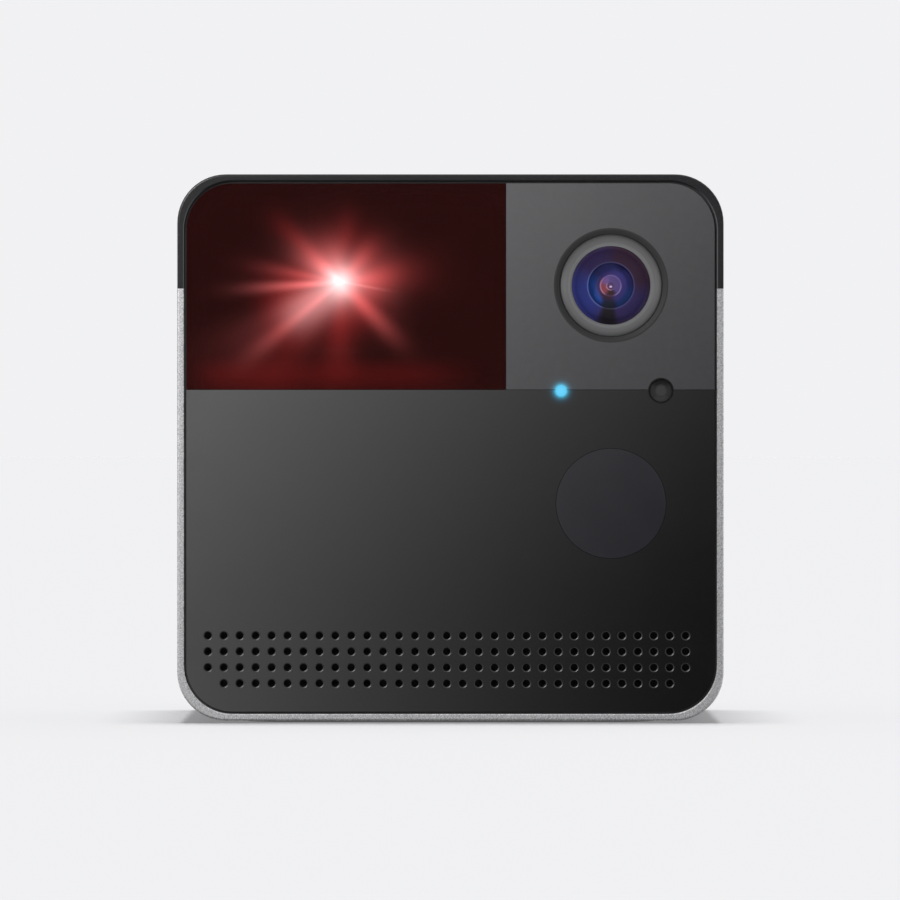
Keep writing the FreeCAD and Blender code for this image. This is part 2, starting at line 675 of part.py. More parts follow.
def perforate(panel):
    """Three long rows of countersunk sound holes, and a fourth that is one hole shorter at each end."""
    first = "-hole_shift - hole_pitch * (hole_columns - 1) / 2"
    long_row = new_sketch(panel, "XZ", PANEL_FACE, [("circle", first, "hole_top", "hole_diameter / 2")])
    hole = countersink(panel, long_row, "hole_diameter", "hole_mouth", False)
    grid = panel.newObject("PartDesign::MultiTransform", "sound_hole_grid")
    grid.Originals = [hole]
    across = panel.newObject("PartDesign::LinearPattern", "holes_across")
    across.Direction = (long_row, ["H_Axis"])
    across.setExpression("Length", bound("hole_pitch * (hole_columns - 1)"))
    across.setExpression("Occurrences", bound("hole_columns"))
    down = panel.newObject("PartDesign::LinearPattern", "holes_down")
    down.Direction = (long_row, ["V_Axis"])
    down.Reversed = True
    down.setExpression("Length", bound("hole_pitch * (hole_rows - 1)"))
    down.setExpression("Occurrences", bound("hole_rows"))
    grid.Transformations = [across, down]
    panel.Tip = grid
    doc.recompute()
    short_row = new_sketch(panel, "XZ", PANEL_FACE, [
        ("circle", "%s + hole_pitch" % first, "hole_top - hole_pitch * hole_rows", "hole_diameter / 2")])
    last = countersink(panel, short_row, "hole_diameter", "hole_mouth", False)
    row = panel.newObject("PartDesign::LinearPattern", "last_row")
    row.Originals = [last]
    row.Direction = (short_row, ["H_Axis"])
    row.setExpression("Length", bound("hole_pitch * (hole_columns - 3)"))
    row.setExpression("Occurrences", bound("hole_columns - 2"))
    panel.Tip = row
    doc.recompute()


def make_front_inserts():
    cloth = new_body("grille_cloth")
    grow(cloth, "XZ", PANEL_BACK, "%s + cloth_thickness" % PANEL_BACK, [cloth_outline()])

    infrared = new_body("ir_window")
    grow(infrared, "XZ", PANEL_FACE, PANEL_BACK, [("circle", "lens_x", "ir_z", "ir_radius")])

    turned("status_light_pipe", [
        ("0", "0.05"), ("light_radius", "0.15"), ("light_radius", "panel_thickness + frame_plate + 0.6"),
        ("0", "panel_thickness + frame_plate + 0.6"),
    ], ("light_x", PANEL_FACE, "indicator_z"), ALONG_Y)

    turned("light_sensor_window", [
        ("0", "0.9"), ("sensor_radius / 2", "0.9"), ("sensor_radius - 0.35", "0.45"),
        ("sensor_radius - 0.15", "0.1"), ("sensor_radius", "0.1"), ("sensor_radius", "panel_thickness"),
        ("0", "panel_thickness"),
    ], ("sensor_x", PANEL_FACE, "indicator_z"), ALONG_Y)


# Camera. Places along a turned piece are measured back from the panel's face.

def make_lens():
    axis = ("lens_x", PANEL_FACE, "lens_z")
    turned("lens_surround", [
        ("bezel_radius + 0.05", "0.35"), ("surround_radius - 0.25", "0"), ("surround_radius", "0"),
        ("surround_radius", "panel_thickness"), ("bezel_radius + 0.05", "panel_thickness"),
    ], axis, ALONG_Y)
    turned("lens_bezel", [
        ("glass_radius + 0.04", "0.75"), ("glass_radius + 0.04", "0.3"),
        ("glass_radius + 0.3", "0", "3.4"), ("bezel_radius", "0.62"), ("bezel_radius", "panel_thickness"),
        ("glass_radius + 0.9", "panel_thickness"), ("glass_radius + 0.9", "0.75"),
    ], axis, ALONG_Y)
    turned("lens_front_element", [
        ("0", "-0.1", "16"), ("glass_radius", "1.0"), ("glass_radius", "panel_thickness"),
        ("4.6", "panel_thickness", "-9"), ("0", "0.9"),
    ], axis, ALONG_Y)
    turned("lens_barrel", [
        ("4.6", "panel_thickness"), ("bezel_radius", "panel_thickness"),
        ("bezel_radius", "panel_thickness + 1.6"), ("barrel_radius", "panel_thickness + 1.6"),
        ("barrel_radius", "panel_thickness + barrel_length"), ("2.4", "panel_thickness + barrel_length"),
        ("2.4", "8"), ("3.5", "8"), ("3.5", "3.6"), ("4.6", "3.6"),
    ], axis, ALONG_Y)
    middle = turned("lens_middle_element", [
        ("0", "3.2", "8"), ("3.5", "4.0"), ("3.5", "6"), ("0", "6"),
    ], axis, ALONG_Y)
    rear = turned("lens_rear_element", [
        ("0", "9", "6"), ("2.4", "9.5"), ("2.4", "12"), ("0", "12.6"),
    ], axis, ALONG_Y)
    group("lens_inner_elements", [middle, rear])


def make_camera_module():
    bracket = new_body("camera_bracket")
    sides = ("lens_x - 13.2", "lens_x + 13.2", "lens_z - 11.9", "lens_z + 11.9", "1.5")
    grow(bracket, "XZ", FRAME_BACK, "%s + 1.8" % FRAME_BACK, [rectangle(*sides)])
    posts = [("circle", "lens_x + %s" % x, "lens_z + %s" % z, "1.5")
             for x in ("6.5", "-6.5") for z in ("9.9", "-9.9")]
    grow(bracket, "XZ", "%s + 1.8" % FRAME_BACK, SENSOR_BOARD_FACE, posts)
    cut(bracket, "XZ", FRAME_BACK, "%s + 1.8" % FRAME_BACK,
        [("circle", "lens_x", "lens_z", "bezel_radius + 0.2")])
    cut(bracket, "XZ", FRAME_BACK, "%s + 1.8" % FRAME_BACK,
        [("circle", x, z, "pan_screw_radius") for x, z in bracket_screw_places()])
    cut(bracket, "XZ", "%s - 3" % SENSOR_BOARD_FACE, SENSOR_BOARD_FACE,
        [("circle", x, z, "pan_screw_radius") for x, z in sensor_screw_places()])

    # The holder's slot is long enough for the filter to stand clear of the lens at night.
    holder = new_body("lens_holder")
    slot_front, slot_back = "%s - 3.2" % SENSOR_BOARD_FACE, "%s - 2" % SENSOR_BOARD_FACE
    outline = rectangle("lens_x - 7.5", "lens_x + 11", "lens_z - 7", "lens_z + 7", "1")
    grow(holder, "XZ", "%s - 7" % SENSOR_BOARD_FACE, SENSOR_BOARD_FACE, [outline])
    cut(holder, "XZ", "%s - 7" % SENSOR_BOARD_FACE, "%s - 4.2" % SENSOR_BOARD_FACE,
        [("circle", "lens_x", "lens_z", "barrel_radius")])
    cut(holder, "XZ", "%s - 4.2" % SENSOR_BOARD_FACE, slot_front, [("circle", "lens_x", "lens_z", "2.5")])
    cut(holder, "XZ", slot_front, slot_back,
        [rectangle("lens_x - 3.6", "lens_x + 3.8 + filter_travel", "lens_z - 3.8", "lens_z + 3.8")])
    cut(holder, "XZ", slot_back, SENSOR_BOARD_FACE,
        [rectangle("lens_x - 3.4", "lens_x + 3.4", "lens_z - 2.8", "lens_z + 2.8")])

    carrier = new_body("filter_frame")
    face, back = "%s - 3" % SENSOR_BOARD_FACE, "%s - 2.2" % SENSOR_BOARD_FACE
    grow(carrier, "XZ", face, back,
         [rectangle("lens_x - 3.2", "lens_x + 3.2", "lens_z - 3.4", "lens_z + 3.4")])
    cut(carrier, "XZ", face, back, [("circle", "lens_x", "lens_z", "2.5")])
    glass = new_body("ir_cut_filter")
    grow(glass, "XZ", face, back, [("circle", "lens_x", "lens_z", "2.5")])

    block("image_sensor", "lens_x - 3.2", "lens_x + 3.2", "%s - 0.9" % SENSOR_BOARD_FACE, SENSOR_BOARD_FACE,
          "lens_z - 2.6", "lens_z + 2.6")
    board = new_body("sensor_board")
    grow(board, "XZ", SENSOR_BOARD_FACE, "%s + board_thickness" % SENSOR_BOARD_FACE,
         [rectangle("lens_x - 13", "lens_x + 13", "lens_z - 11.6", "lens_z + 11.6", "1")])
    cut(board, "XZ", SENSOR_BOARD_FACE, "%s + board_thickness" % SENSOR_BOARD_FACE,
        [("circle", x, z, "pan_screw_radius") for x, z in sensor_screw_places()])


def sensor_screw_places():
    return [("lens_x - 6.5", "lens_z + 9.9"), ("lens_x + 6.5", "lens_z - 9.9")]


def make_front_boards():
    back = "%s + board_thickness" % BOARD_FACE
    places = board_screw_places()
    board = new_body("ir_led_board")
    grow(board, "XZ", BOARD_FACE, back,
         [rectangle("lens_x - 9.2", "lens_x + 9.2", "ir_z - 9.4", "ir_z + 8.6", "1")])
    cut(board, "XZ", BOARD_FACE, back, [("circle", x, z, "pan_screw_radius") for x, z in places[:2]])
    lamp = turned("ir_led", [
        ("0", "-1.7", "2.4"), ("1.4", "-1.2"), ("1.4", "-0.5"), ("1.75", "-0.5"), ("1.75", "0"), ("0", "0"),
    ], ("0", "0", "0"))
    spots = [(("lens_x + %s" % x, BOARD_FACE, "ir_z + %s" % z), ALONG_Y)
             for x, z in (("0", "3.4"), ("-3.2", "-2.2"), ("3.2", "-2.2"))]
    copies("ir_leds", lamp, spots)

    indicator = new_body("indicator_board")
    grow(indicator, "XZ", BOARD_FACE, back, [
        rectangle("light_x - 5.4", "sensor_x + 6", "indicator_z - 2.8", "indicator_z + 2.8", "0.8")])
    cut(indicator, "XZ", BOARD_FACE, back, [("circle", x, z, "pan_screw_radius") for x, z in places[2:]])
    grow(indicator, "XZ", "%s - 0.6" % BOARD_FACE, BOARD_FACE, [
        rectangle("light_x - 0.8", "light_x + 0.8", "indicator_z - 0.6", "indicator_z + 0.6"),
        rectangle("sensor_x - 1", "sensor_x + 1", "indicator_z - 1", "indicator_z + 1"),
    ])


# Laser pointer

def gear_solid(teeth, module, width, bore):
    """Involute spur gear with one tooth on its own +X, its backlash taken off the teeth."""
    pressure = math.radians(20)
    pitch = teeth * module / 2
    base = pitch * math.cos(pressure)
    root, tip = pitch - 1.25 * module, pitch + module
    half_tooth = math.pi / (2 * teeth) - value("backlash") / (2 * pitch)

    def spread(radius):
        """Half the angle of a tooth at a radius."""
        roll = math.sqrt(max((radius / base) ** 2 - 1, 0))
        return half_tooth + math.tan(pressure) - pressure - (roll - math.atan(roll))

    def point(radius, angle):
        return V(radius * math.cos(angle), radius * math.sin(angle), 0)

    start = max(base, root)
    middle = (start + tip) / 2
    edges = []
    for number in range(teeth):
        centre = 2 * math.pi * number / teeth
        following = centre + 2 * math.pi / teeth
        low = [point(start, centre - spread(start)), point(start, centre + spread(start))]
        high = [point(tip, centre - spread(tip)), point(tip, centre + spread(tip))]
        flank = [point(middle, centre - spread(middle)), point(middle, centre + spread(middle))]
        foot = [point(root, centre - spread(start)), point(root, centre + spread(start))]
        if start > root:
            edges.append(Part.LineSegment(foot[0], low[0]).toShape())
        edges.append(Part.Arc(low[0], flank[0], high[0]).toShape())
        edges.append(Part.Arc(high[0], point(tip, centre), high[1]).toShape())
        edges.append(Part.Arc(high[1], flank[1], low[1]).toShape())
        if start > root:
            edges.append(Part.LineSegment(low[1], foot[1]).toShape())
        gap = point(root, (centre + following) / 2)
        edges.append(Part.Arc(foot[1], gap, point(root, following - spread(start))).toShape())
    face = Part.Face(Part.Wire(edges))
    if bore > 0:
        face = face.cut(Part.Face(Part.Wire(Part.Circle(V(), V(0, 0, 1), bore).toShape())))
    return face.extrude(V(0, 0, width))


def gear(label, solid, at, turn):
    item = doc.addObject("Part::Feature", label)
    item.Label = label
    item.Shape = solid
    place(item, at, turn)
    return item


def shaft(radius, start, end):
    return Part.makeCylinder(radius, end - start, V(0, 0, start))


def make_laser():
    axis = ("laser_x", "laser_y", "laser_z")
    half = "laser_length / 2"
    turned("laser_module", [
        ("1.5", "-%s" % half), ("laser_radius", "-%s" % half), ("laser_radius", half), ("0", half),
        ("0", "-%s + 3" % half), ("1.5", "-%s + 3" % half),
    ], axis, ALONG_Y)
    turned("laser_lens", [
        ("0", "-%s + 0.4" % half, "3"), ("1.5", "-%s + 0.8" % half), ("1.5", "-%s + 1.8" % half),
        ("0", "-%s + 1.8" % half),
    ], axis, ALONG_Y)

    cradle = new_body("laser_cradle")
    grow(cradle, "XZ", "laser_y - 4.4", "laser_y + 4.4", [
        rectangle("laser_x - cradle_half", "laser_x + cradle_half", "laser_z - 4.2", "laser_z + 4.2", "1")])
    grow(cradle, "YZ", "laser_x + cradle_half", "%s + gear_width" % TILT_GEAR_X,
         [("circle", "laser_y", "laser_z", "pin_radius")])
    grow(cradle, "YZ", "laser_x - arm_inside - arm_thickness - 0.6", "laser_x - cradle_half",
         [("circle", "laser_y", "laser_z", "pin_radius")])
    cut(cradle, "XZ", "laser_y - 4.4", "laser_y + 4.4", [("circle", "laser_x", "laser_z", "laser_radius")])

    yoke = new_body("laser_yoke")
    grow(yoke, "XY", YOKE_LOW, YOKE_FLOOR, [("circle", "laser_x", "laser_y", "8")])
    arm = rectangle("laser_y - 3", "laser_y + 3", YOKE_FLOOR, "laser_z + 2.8")
    grow(yoke, "YZ", "laser_x + arm_inside", "laser_x + arm_inside + arm_thickness", [arm])
    grow(yoke, "YZ", "laser_x - arm_inside - arm_thickness", "laser_x - arm_inside", [arm])
    grow(yoke, "XY", "%s - 3.8" % DECK_UNDER, YOKE_LOW, [("circle", "laser_x", "laser_y", "2")])
    cut(yoke, "YZ", "laser_x - 8", "laser_x + 8", [("circle", "laser_y", "laser_z", "pin_radius + running")])
    cut(yoke, "YZ", "laser_x + arm_inside", "laser_x + arm_inside + arm_thickness",
        [("circle", "laser_y", TILT_MOTOR_Z, "0.75 + running")])

    small = int(value("pinion_teeth"))
    wide = value("gear_width")
    tilt, pan = value("tilt_module"), value("pan_module")
    gear("tilt_gear", gear_solid(int(value("tilt_teeth")), tilt, wide, value("pin_radius")),
         (TILT_GEAR_X, "laser_y", "laser_z"), ALONG_X)
    half_pitch = FreeCAD.Rotation(V(0, 0, 1), 180 / small)
    tilt_shaft = shaft(0.75, value("laser_x + 4.2 - %s" % TILT_GEAR_X), wide)
    gear("tilt_pinion", gear_solid(small, tilt, wide, 0).fuse(tilt_shaft).removeSplitter(),
         (TILT_GEAR_X, "laser_y", TILT_MOTOR_Z), ALONG_X * half_pitch)
    turned("tilt_motor", [
        ("0", "-5"), ("3.9", "-5"), ("3.9", "5"), ("0.75 + running", "5"),
        ("0.75 + running", "4"), ("0", "4"),
    ], ("laser_x", "laser_y", TILT_MOTOR_Z), ALONG_X)

    gear("pan_gear", gear_solid(int(value("pan_teeth")), pan, wide, 2),
         ("laser_x", "laser_y", "%s - gear_width" % YOKE_LOW), ALONG_Z)
    pan_low = value("%s - 5 - (%s - gear_width)" % (DECK_UNDER, YOKE_LOW))
    gear("pan_pinion", gear_solid(small, pan, wide, 0).fuse(shaft(0.75, pan_low, wide)).removeSplitter(),
         ("laser_x", PAN_MOTOR_Y, "%s - gear_width" % YOKE_LOW),
         FreeCAD.Rotation(V(0, 0, 1), 90 + 180 / small))
    turned("pan_motor", [
        ("0", "-9"), ("5", "-9"), ("5", "0"), ("2.4", "0"), ("2.4", "deck_thickness"),
        ("0.75 + running", "deck_thickness"), ("0.75 + running", "-5.2"), ("0", "-5.2"),
    ], ("laser_x", PAN_MOTOR_Y, DECK_UNDER))

    turned("pan_bush", [
        ("2 + running", "-2.4"), ("3.2", "-2.4"), ("3.2", "deck_thickness"), ("4.4", "deck_thickness"),
        ("4.4", "deck_thickness + 0.8"), ("2 + running", "deck_thickness + 0.8"),
    ], ("laser_x", "laser_y", DECK_UNDER))
    turned("yoke_clip", [("2", "-3.3"), ("3.4", "-3.3"), ("3.4", "-2.7"), ("2", "-2.7")],
           ("laser_x", "laser_y", DECK_UNDER))

    deck = new_body("laser_deck")
    edge = "%s - wall" % INNER
    grow(deck, "XY", DECK_UNDER, "deck_top", [
        rectangle("-(%s)" % edge, edge, "%s + 0.4" % FRAME_END, "4", "1")])
    cut(deck, "XY", DECK_UNDER, "deck_top", [
        ("circle", "laser_x", "laser_y", "3.2"), ("circle", "laser_x", PAN_MOTOR_Y, "2.4")]
        + [("circle", x, y, "pan_screw_radius") for x, y in deck_screw_places()])


# Sound

def make_sound():
    axis = ("speaker_x", FRAME_BACK, "speaker_z")
    turned("speaker_gasket", [
        ("7.6", "0"), ("speaker_radius", "0"), ("speaker_radius", "0.6"), ("7.6", "0.6"),
    ], axis, ALONG_Y)
    turned("speaker_basket", [
        ("7.6", "0.6"), ("speaker_radius", "0.6"), ("speaker_radius", "1.6"), ("8.4", "1.6"), ("8.4", "6"),
        ("4.2", "6"), ("4.2", "5.2"), ("7.6", "5.2"),
    ], axis, ALONG_Y)
    turned("speaker_surround", [
        ("cone_radius + 0.1", "1.1"), ("6.65", "0.7"), ("7.6", "1.1"), ("7.6", "1.4"), ("6.65", "1.0"),
        ("cone_radius + 0.1", "1.4"),
    ], axis, ALONG_Y)
    turned("speaker_cone", [
        ("0", "1.2", "14"), ("3", "1.6"), ("cone_radius", "1.1"), ("cone_radius", "1.4"),
        ("3.3", "2.0"), ("3.3", "4.4"), ("3", "4.4"), ("3", "2.0"), ("0", "1.6"),
    ], axis, ALONG_Y)
    turned("speaker_magnet", [
        ("0", "6"), ("6.4", "6"), ("6.4", "9.5"), ("0", "9.5"),
    ], axis, ALONG_Y)

    box = new_body("speaker_box")
    front = "%s + 1.6" % FRAME_BACK
    outline = ("speaker_x - 16", "speaker_x + 16", "%s + wall" % FLOOR, "speaker_z + 10")
    grow(box, "XZ", front, "-14", [rectangle(*outline, "1.5")])
    inside = ("speaker_x - 14.8", "speaker_x + 14.8", "%s + wall + 1.2" % FLOOR, "speaker_z + 8.8")
    cut(box, "XZ", "%s + 1.2" % front, "-15.2", [rectangle(*inside)])
    cut(box, "XZ", front, "%s + 1.2" % front, [("circle", "speaker_x", "speaker_z", "8.4")])

    mic = ("mic_x", FRAME_BACK, "mic_z")
    turned("mic_boot", [
        ("0.6", "0"), ("4", "0"), ("4", "4"), ("2.5", "4"), ("2.5", "0.8"), ("0.6", "0.8"),
    ], mic, ALONG_Y)
    turned("microphone", [("0", "0.8"), ("2.5", "0.8"), ("2.5", "3.8"), ("0", "3.8")], mic, ALONG_Y)


# Electronics

def make_electronics():
    board = new_body("main_board")
    grow(board, "XZ", "main_board_y", BOARD_BACK, [rectangle("-28", "28", "8", "61", "2")])
    cut(board, "XZ", "main_board_y", BOARD_BACK,
        [("circle", x, z, "pan_screw_radius") for x, z in main_board_screw_places()])

    processor = block("processor", "-7", "7", "main_board_y - 1.2", "main_board_y", "33", "47")
    memory = block("memory_chip", "0", "6", "0", "1.1", "0", "8")
    coil = block("power_coil", "0", "5", "0", "2.6", "0", "5")
    chips = [(("%s" % x, "main_board_y - 1.1", "14"), ALONG_Z) for x in (-9, -1)]
    coils = [(("%s" % x, "main_board_y - 2.6", "15"), ALONG_Z) for x in (9, 16)]
    group("board_chips", [processor, copies("memory", memory, chips), copies("coils", coil, coils)])

    sink = new_body("heat_sink")
    face = "main_board_y - 1.2"
    grow(sink, "XZ", "%s - 2" % face, face, [rectangle("-13", "13", "27", "53")])
    fins = [rectangle(str(x), str(x + 1.2), "27", "53") for x in (-13, -8.04, -3.08, 1.88, 6.84, 11.8)]
    grow(sink, "XZ", "%s - 7.6" % face, "%s - 2" % face, fins)

    radio = new_body("wifi_module")
    grow(radio, "XZ", "main_board_y - 0.8", "main_board_y", [rectangle("-27", "-15", "15", "29")])
    grow(radio, "XZ", "main_board_y - 2.2", "main_board_y - 0.8",
         [rectangle("-26.4", "-15.6", "15.6", "25", "0.5")])

    socket = new_body("usb_socket")
    end = "%s - plug_depth" % COVER_FACE
    mouth, tip = "%s - 4.6" % end, "%s - 0.6" % end
    grow(socket, "XZ", BOARD_BACK, end, [rectangle("-3.9", "3.9", "plug_z - 1.5", "plug_z + 1.5", "0.6")])
    cut(socket, "XZ", mouth, end, [rectangle("-3.5", "3.5", "plug_z - 1.1", "plug_z + 1.1", "0.3")])
    grow(socket, "XZ", mouth, tip, [rectangle("-2.6", "2.6", "plug_z - 0.1", "plug_z + 0.5")])

    switch = new_body("reset_switch")
    grow(switch, "XZ", BOARD_BACK, "%s + 3" % BOARD_BACK,
         [rectangle("reset_x - 3", "reset_x + 3", "plug_z - 3", "plug_z + 3", "0.4")])
    cut(switch, "XZ", "%s + 1.6" % BOARD_BACK, "%s + 3" % BOARD_BACK,
        [("circle", "reset_x", "plug_z", "1.1")])
    turned("reset_button", [
        ("0", "%s - 0.3" % COVER_FACE), ("reset_radius - 0.3", "%s - 0.3" % COVER_FACE),
        ("reset_radius", "%s - 0.6" % COVER_FACE), ("reset_radius", "%s - 0.1" % COVER_INNER),
        ("2.4", "%s - 0.1" % COVER_INNER), ("2.4", "%s - 1" % COVER_INNER), ("1", "%s - 1" % COVER_INNER),
        ("1", "%s + 2.3" % BOARD_BACK), ("0", "%s + 2.3" % BOARD_BACK),
    ], ("reset_x", "0", "plug_z"), ALONG_Y)


def lead_along(points, bends, radius):
    """Round lead of straight runs joined by tangent arcs."""
    edges = []
    start = points[0]
    for before, corner, after, bend in zip(points, points[1:], points[2:], bends):
        toward = (before - corner).normalize()
        onward = (after - corner).normalize()
        leave, arrive = corner + toward * bend, corner + onward * bend
        centre = corner + (toward + onward) * bend
        middle = centre - (toward + onward).normalize() * bend
        edges.append(Part.LineSegment(start, leave).toShape())
        edges.append(Part.Arc(leave, middle, arrive).toShape())
        start = arrive
    edges.append(Part.LineSegment(start, points[-1]).toShape())
    path = Part.Wire(edges)
    section = Part.Wire(Part.Circle(points[0], points[1] - points[0], radius).toShape())
    return path.makePipeShell([section], True, False)


def make_wiring():
    foil = block("aerial_foil", "-26", "6", "4", "12", "%s - 0.3" % CEILING, CEILING)
    lead = doc.addObject("Part::Feature", "aerial_lead")
    high = value("%s - 0.3 - 0.55" % CEILING)
    board = value("main_board_y - 2.2")
    route = [V(-22, 8, high), V(-22, 24, high), V(-22, 24, 21), V(-22, board, 21)]
    lead.Shape = lead_along(route, (5, 1.4), 0.55)
    group("wifi_antenna", [foil, lead])

    start = "%s + board_thickness" % SENSOR_BOARD_FACE
    camera = joined("camera_ribbon", [
        block("camera_ribbon_end", "lens_x - 5", "lens_x + 5", start, "%s + 0.3" % start, "59.8", "62.8"),
        block("camera_ribbon_run", "lens_x - 5", "lens_x + 5", "%s + 0.3" % start, "26.3", "62.5", "62.8"),
        block("camera_ribbon_drop", "lens_x - 5", "lens_x + 5", "26", "26.3", "53", "62.5"),
        block("camera_ribbon_foot", "lens_x - 5", "lens_x + 5", "26.3", "main_board_y", "53", "53.3"),
    ])
    start = "%s + board_thickness" % BOARD_FACE
    front = joined("front_ribbon", [
        block("front_ribbon_end", "lens_x - 4", "lens_x + 4", start, "%s + 0.3" % start, "33", "37.3"),
        block("front_ribbon_run", "lens_x - 4", "lens_x + 4",
              "%s + 0.3" % start, "main_board_y", "37", "37.3"),
    ])
    group("ribbon_cables", [camera, front])


# Underside and fasteners

def make_underside():
    pad = new_body("foot_pad")
    outline = rectangle("-pad_size / 2", "pad_size / 2", "-pad_size / 2", "pad_size / 2", "pad_corner")
    grow(pad, "XY", "0", "pad_thickness", [outline])
    cut(pad, "XY", "0", "pad_thickness", [("circle", "0", "0", "insert_radius - 0.9")])
    turned("tripod_insert", [
        ("thread_radius", "pad_thickness"), ("insert_radius", "pad_thickness"), ("insert_radius", "10.4"),
        ("0", "10.4"), ("0", "pad_thickness + thread_length"),
        ("thread_radius", "pad_thickness + thread_length"),
    ], ("0", "0", "0"))


def make_screws():
    """Both kinds of screw point along +Z, with the head's face or seat at their own origin."""
    head = "flat_head_radius - flat_screw_radius"
    flat = turned("flat_screw", [
        ("0", "0.05"), ("flat_head_radius - 0.05", "0.05"), ("flat_screw_radius", head),
        ("flat_screw_radius", "6"), ("0", "6"),
    ], ("0", "0", "0"))
    cut(flat, "XY", "0.05", "0.75", [cross_slot("0.45", "1.2")])
    pan = turned("pan_screw", [
        ("0", "-1"), ("pan_head_radius - 0.4", "-1"), ("pan_head_radius", "-0.6"), ("pan_head_radius", "0"),
        ("pan_screw_radius", "0"), ("pan_screw_radius", "pan_screw_length"), ("0", "pan_screw_length"),
    ], ("0", "0", "0"))
    cut(pan, "XY", "-1", "-0.4", [cross_slot("0.25", "0.8")])

    up = ALONG_Z
    down = FreeCAD.Rotation(V(1, 0, 0), 180)
    forward = FreeCAD.Rotation(V(1, 0, 0), 90)
    places = [((x, COVER_FACE, z), forward)
              for x in ("-screw_x", "screw_x") for z in ("low_screw_z", "high_screw_z")]
    places += [((x, y, "pad_thickness"), up) for x, y in base_screw_places()]
    copies("case_screws", flat, places)

    back = "%s + board_thickness" % BOARD_FACE
    places = [((x, "%s + 1.8" % FRAME_BACK, z), forward) for x, z in bracket_screw_places()]
    places += [((x, "%s + board_thickness" % SENSOR_BOARD_FACE, z), forward)
               for x, z in sensor_screw_places()]
    places += [((x, back, z), forward) for x, z in board_screw_places()]
    places += [((x, y, "deck_top"), down) for x, y in deck_screw_places()]
    places += [((x, "main_board_y", z), ALONG_Y) for x, z in main_board_screw_places()]
    places += [((x, "%s + 2.4" % FRAME_END, "low_screw_z"), forward) for x in ("-screw_x", "screw_x")]
    copies("inner_screws", pan, places)


def cross_slot(half, reach):
    """Plus-shaped outline of a screw's drive."""
    near, far = half, reach
    return [
        (far, "-" + near), (far, near), (near, near), (near, far), ("-" + near, far), ("-" + near, near),
        ("-" + far, near), ("-" + far, "-" + near), ("-" + near, "-" + near), ("-" + near, "-" + far),
        (near, "-" + far), (near, "-" + near),
    ]


NODES = [
    "body_sleeve", "top_cover", "rear_cover", "front_frame", "chassis",
    "laser_window", "camera_panel", "lower_panel", "grille_cloth", "ir_window",
    "status_light_pipe", "light_sensor_window",
    "lens_surround", "lens_bezel", "lens_front_element", "lens_inner_elements", "lens_barrel", "lens_holder",
    "filter_frame", "ir_cut_filter", "image_sensor", "sensor_board", "camera_bracket",
    "ir_led_board", "ir_leds", "indicator_board",
    "laser_module", "laser_lens", "laser_cradle", "tilt_gear", "tilt_pinion", "tilt_motor",
    "laser_yoke", "pan_gear", "pan_pinion", "pan_motor", "pan_bush", "yoke_clip", "laser_deck",
    "speaker_gasket", "speaker_basket", "speaker_surround", "speaker_cone", "speaker_magnet", "speaker_box",
    "microphone", "mic_boot",
    "main_board", "board_chips", "heat_sink", "wifi_module", "usb_socket", "reset_switch", "reset_button",
    "wifi_antenna", "ribbon_cables",
    "foot_pad", "tripod_insert", "case_screws", "inner_screws",
]


def main():
    make_sleeve()
    make_cap()
    make_back_cover()
    make_front_frame()
    make_chassis()
    make_panels()
    make_front_inserts()
    make_lens()
    make_camera_module()
    make_front_boards()
    make_laser()
    make_sound()
    make_electronics()
    make_wiring()
    make_underside()
    make_screws()
    doc.recompute()

    for item in doc.Objects:
        if "Invalid" in item.State or "Error" in item.State:
            raise RuntimeError("%s is %s" % (item.Name, item.State))
    os.makedirs("parts", exist_ok=True)
    for label in NODES:
        shape = doc.getObjectsByLabel(label)[0].Shape
        if shape.isNull() or not shape.isValid():
            raise RuntimeError(label + " has no valid shape")
        shape.exportStep("parts/%s.step" % label)
        box = shape.BoundBox
        print("%-22s %2d solid(s) %10.1f mm3   X %7.2f %7.2f  Y %7.2f %7.2f  Z %7.2f %7.2f" % (
            label, len(shape.Solids), shape.Volume,
            box.XMin, box.XMax, box.YMin, box.YMax, box.ZMin, box.ZMax))


main()
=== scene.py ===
import math

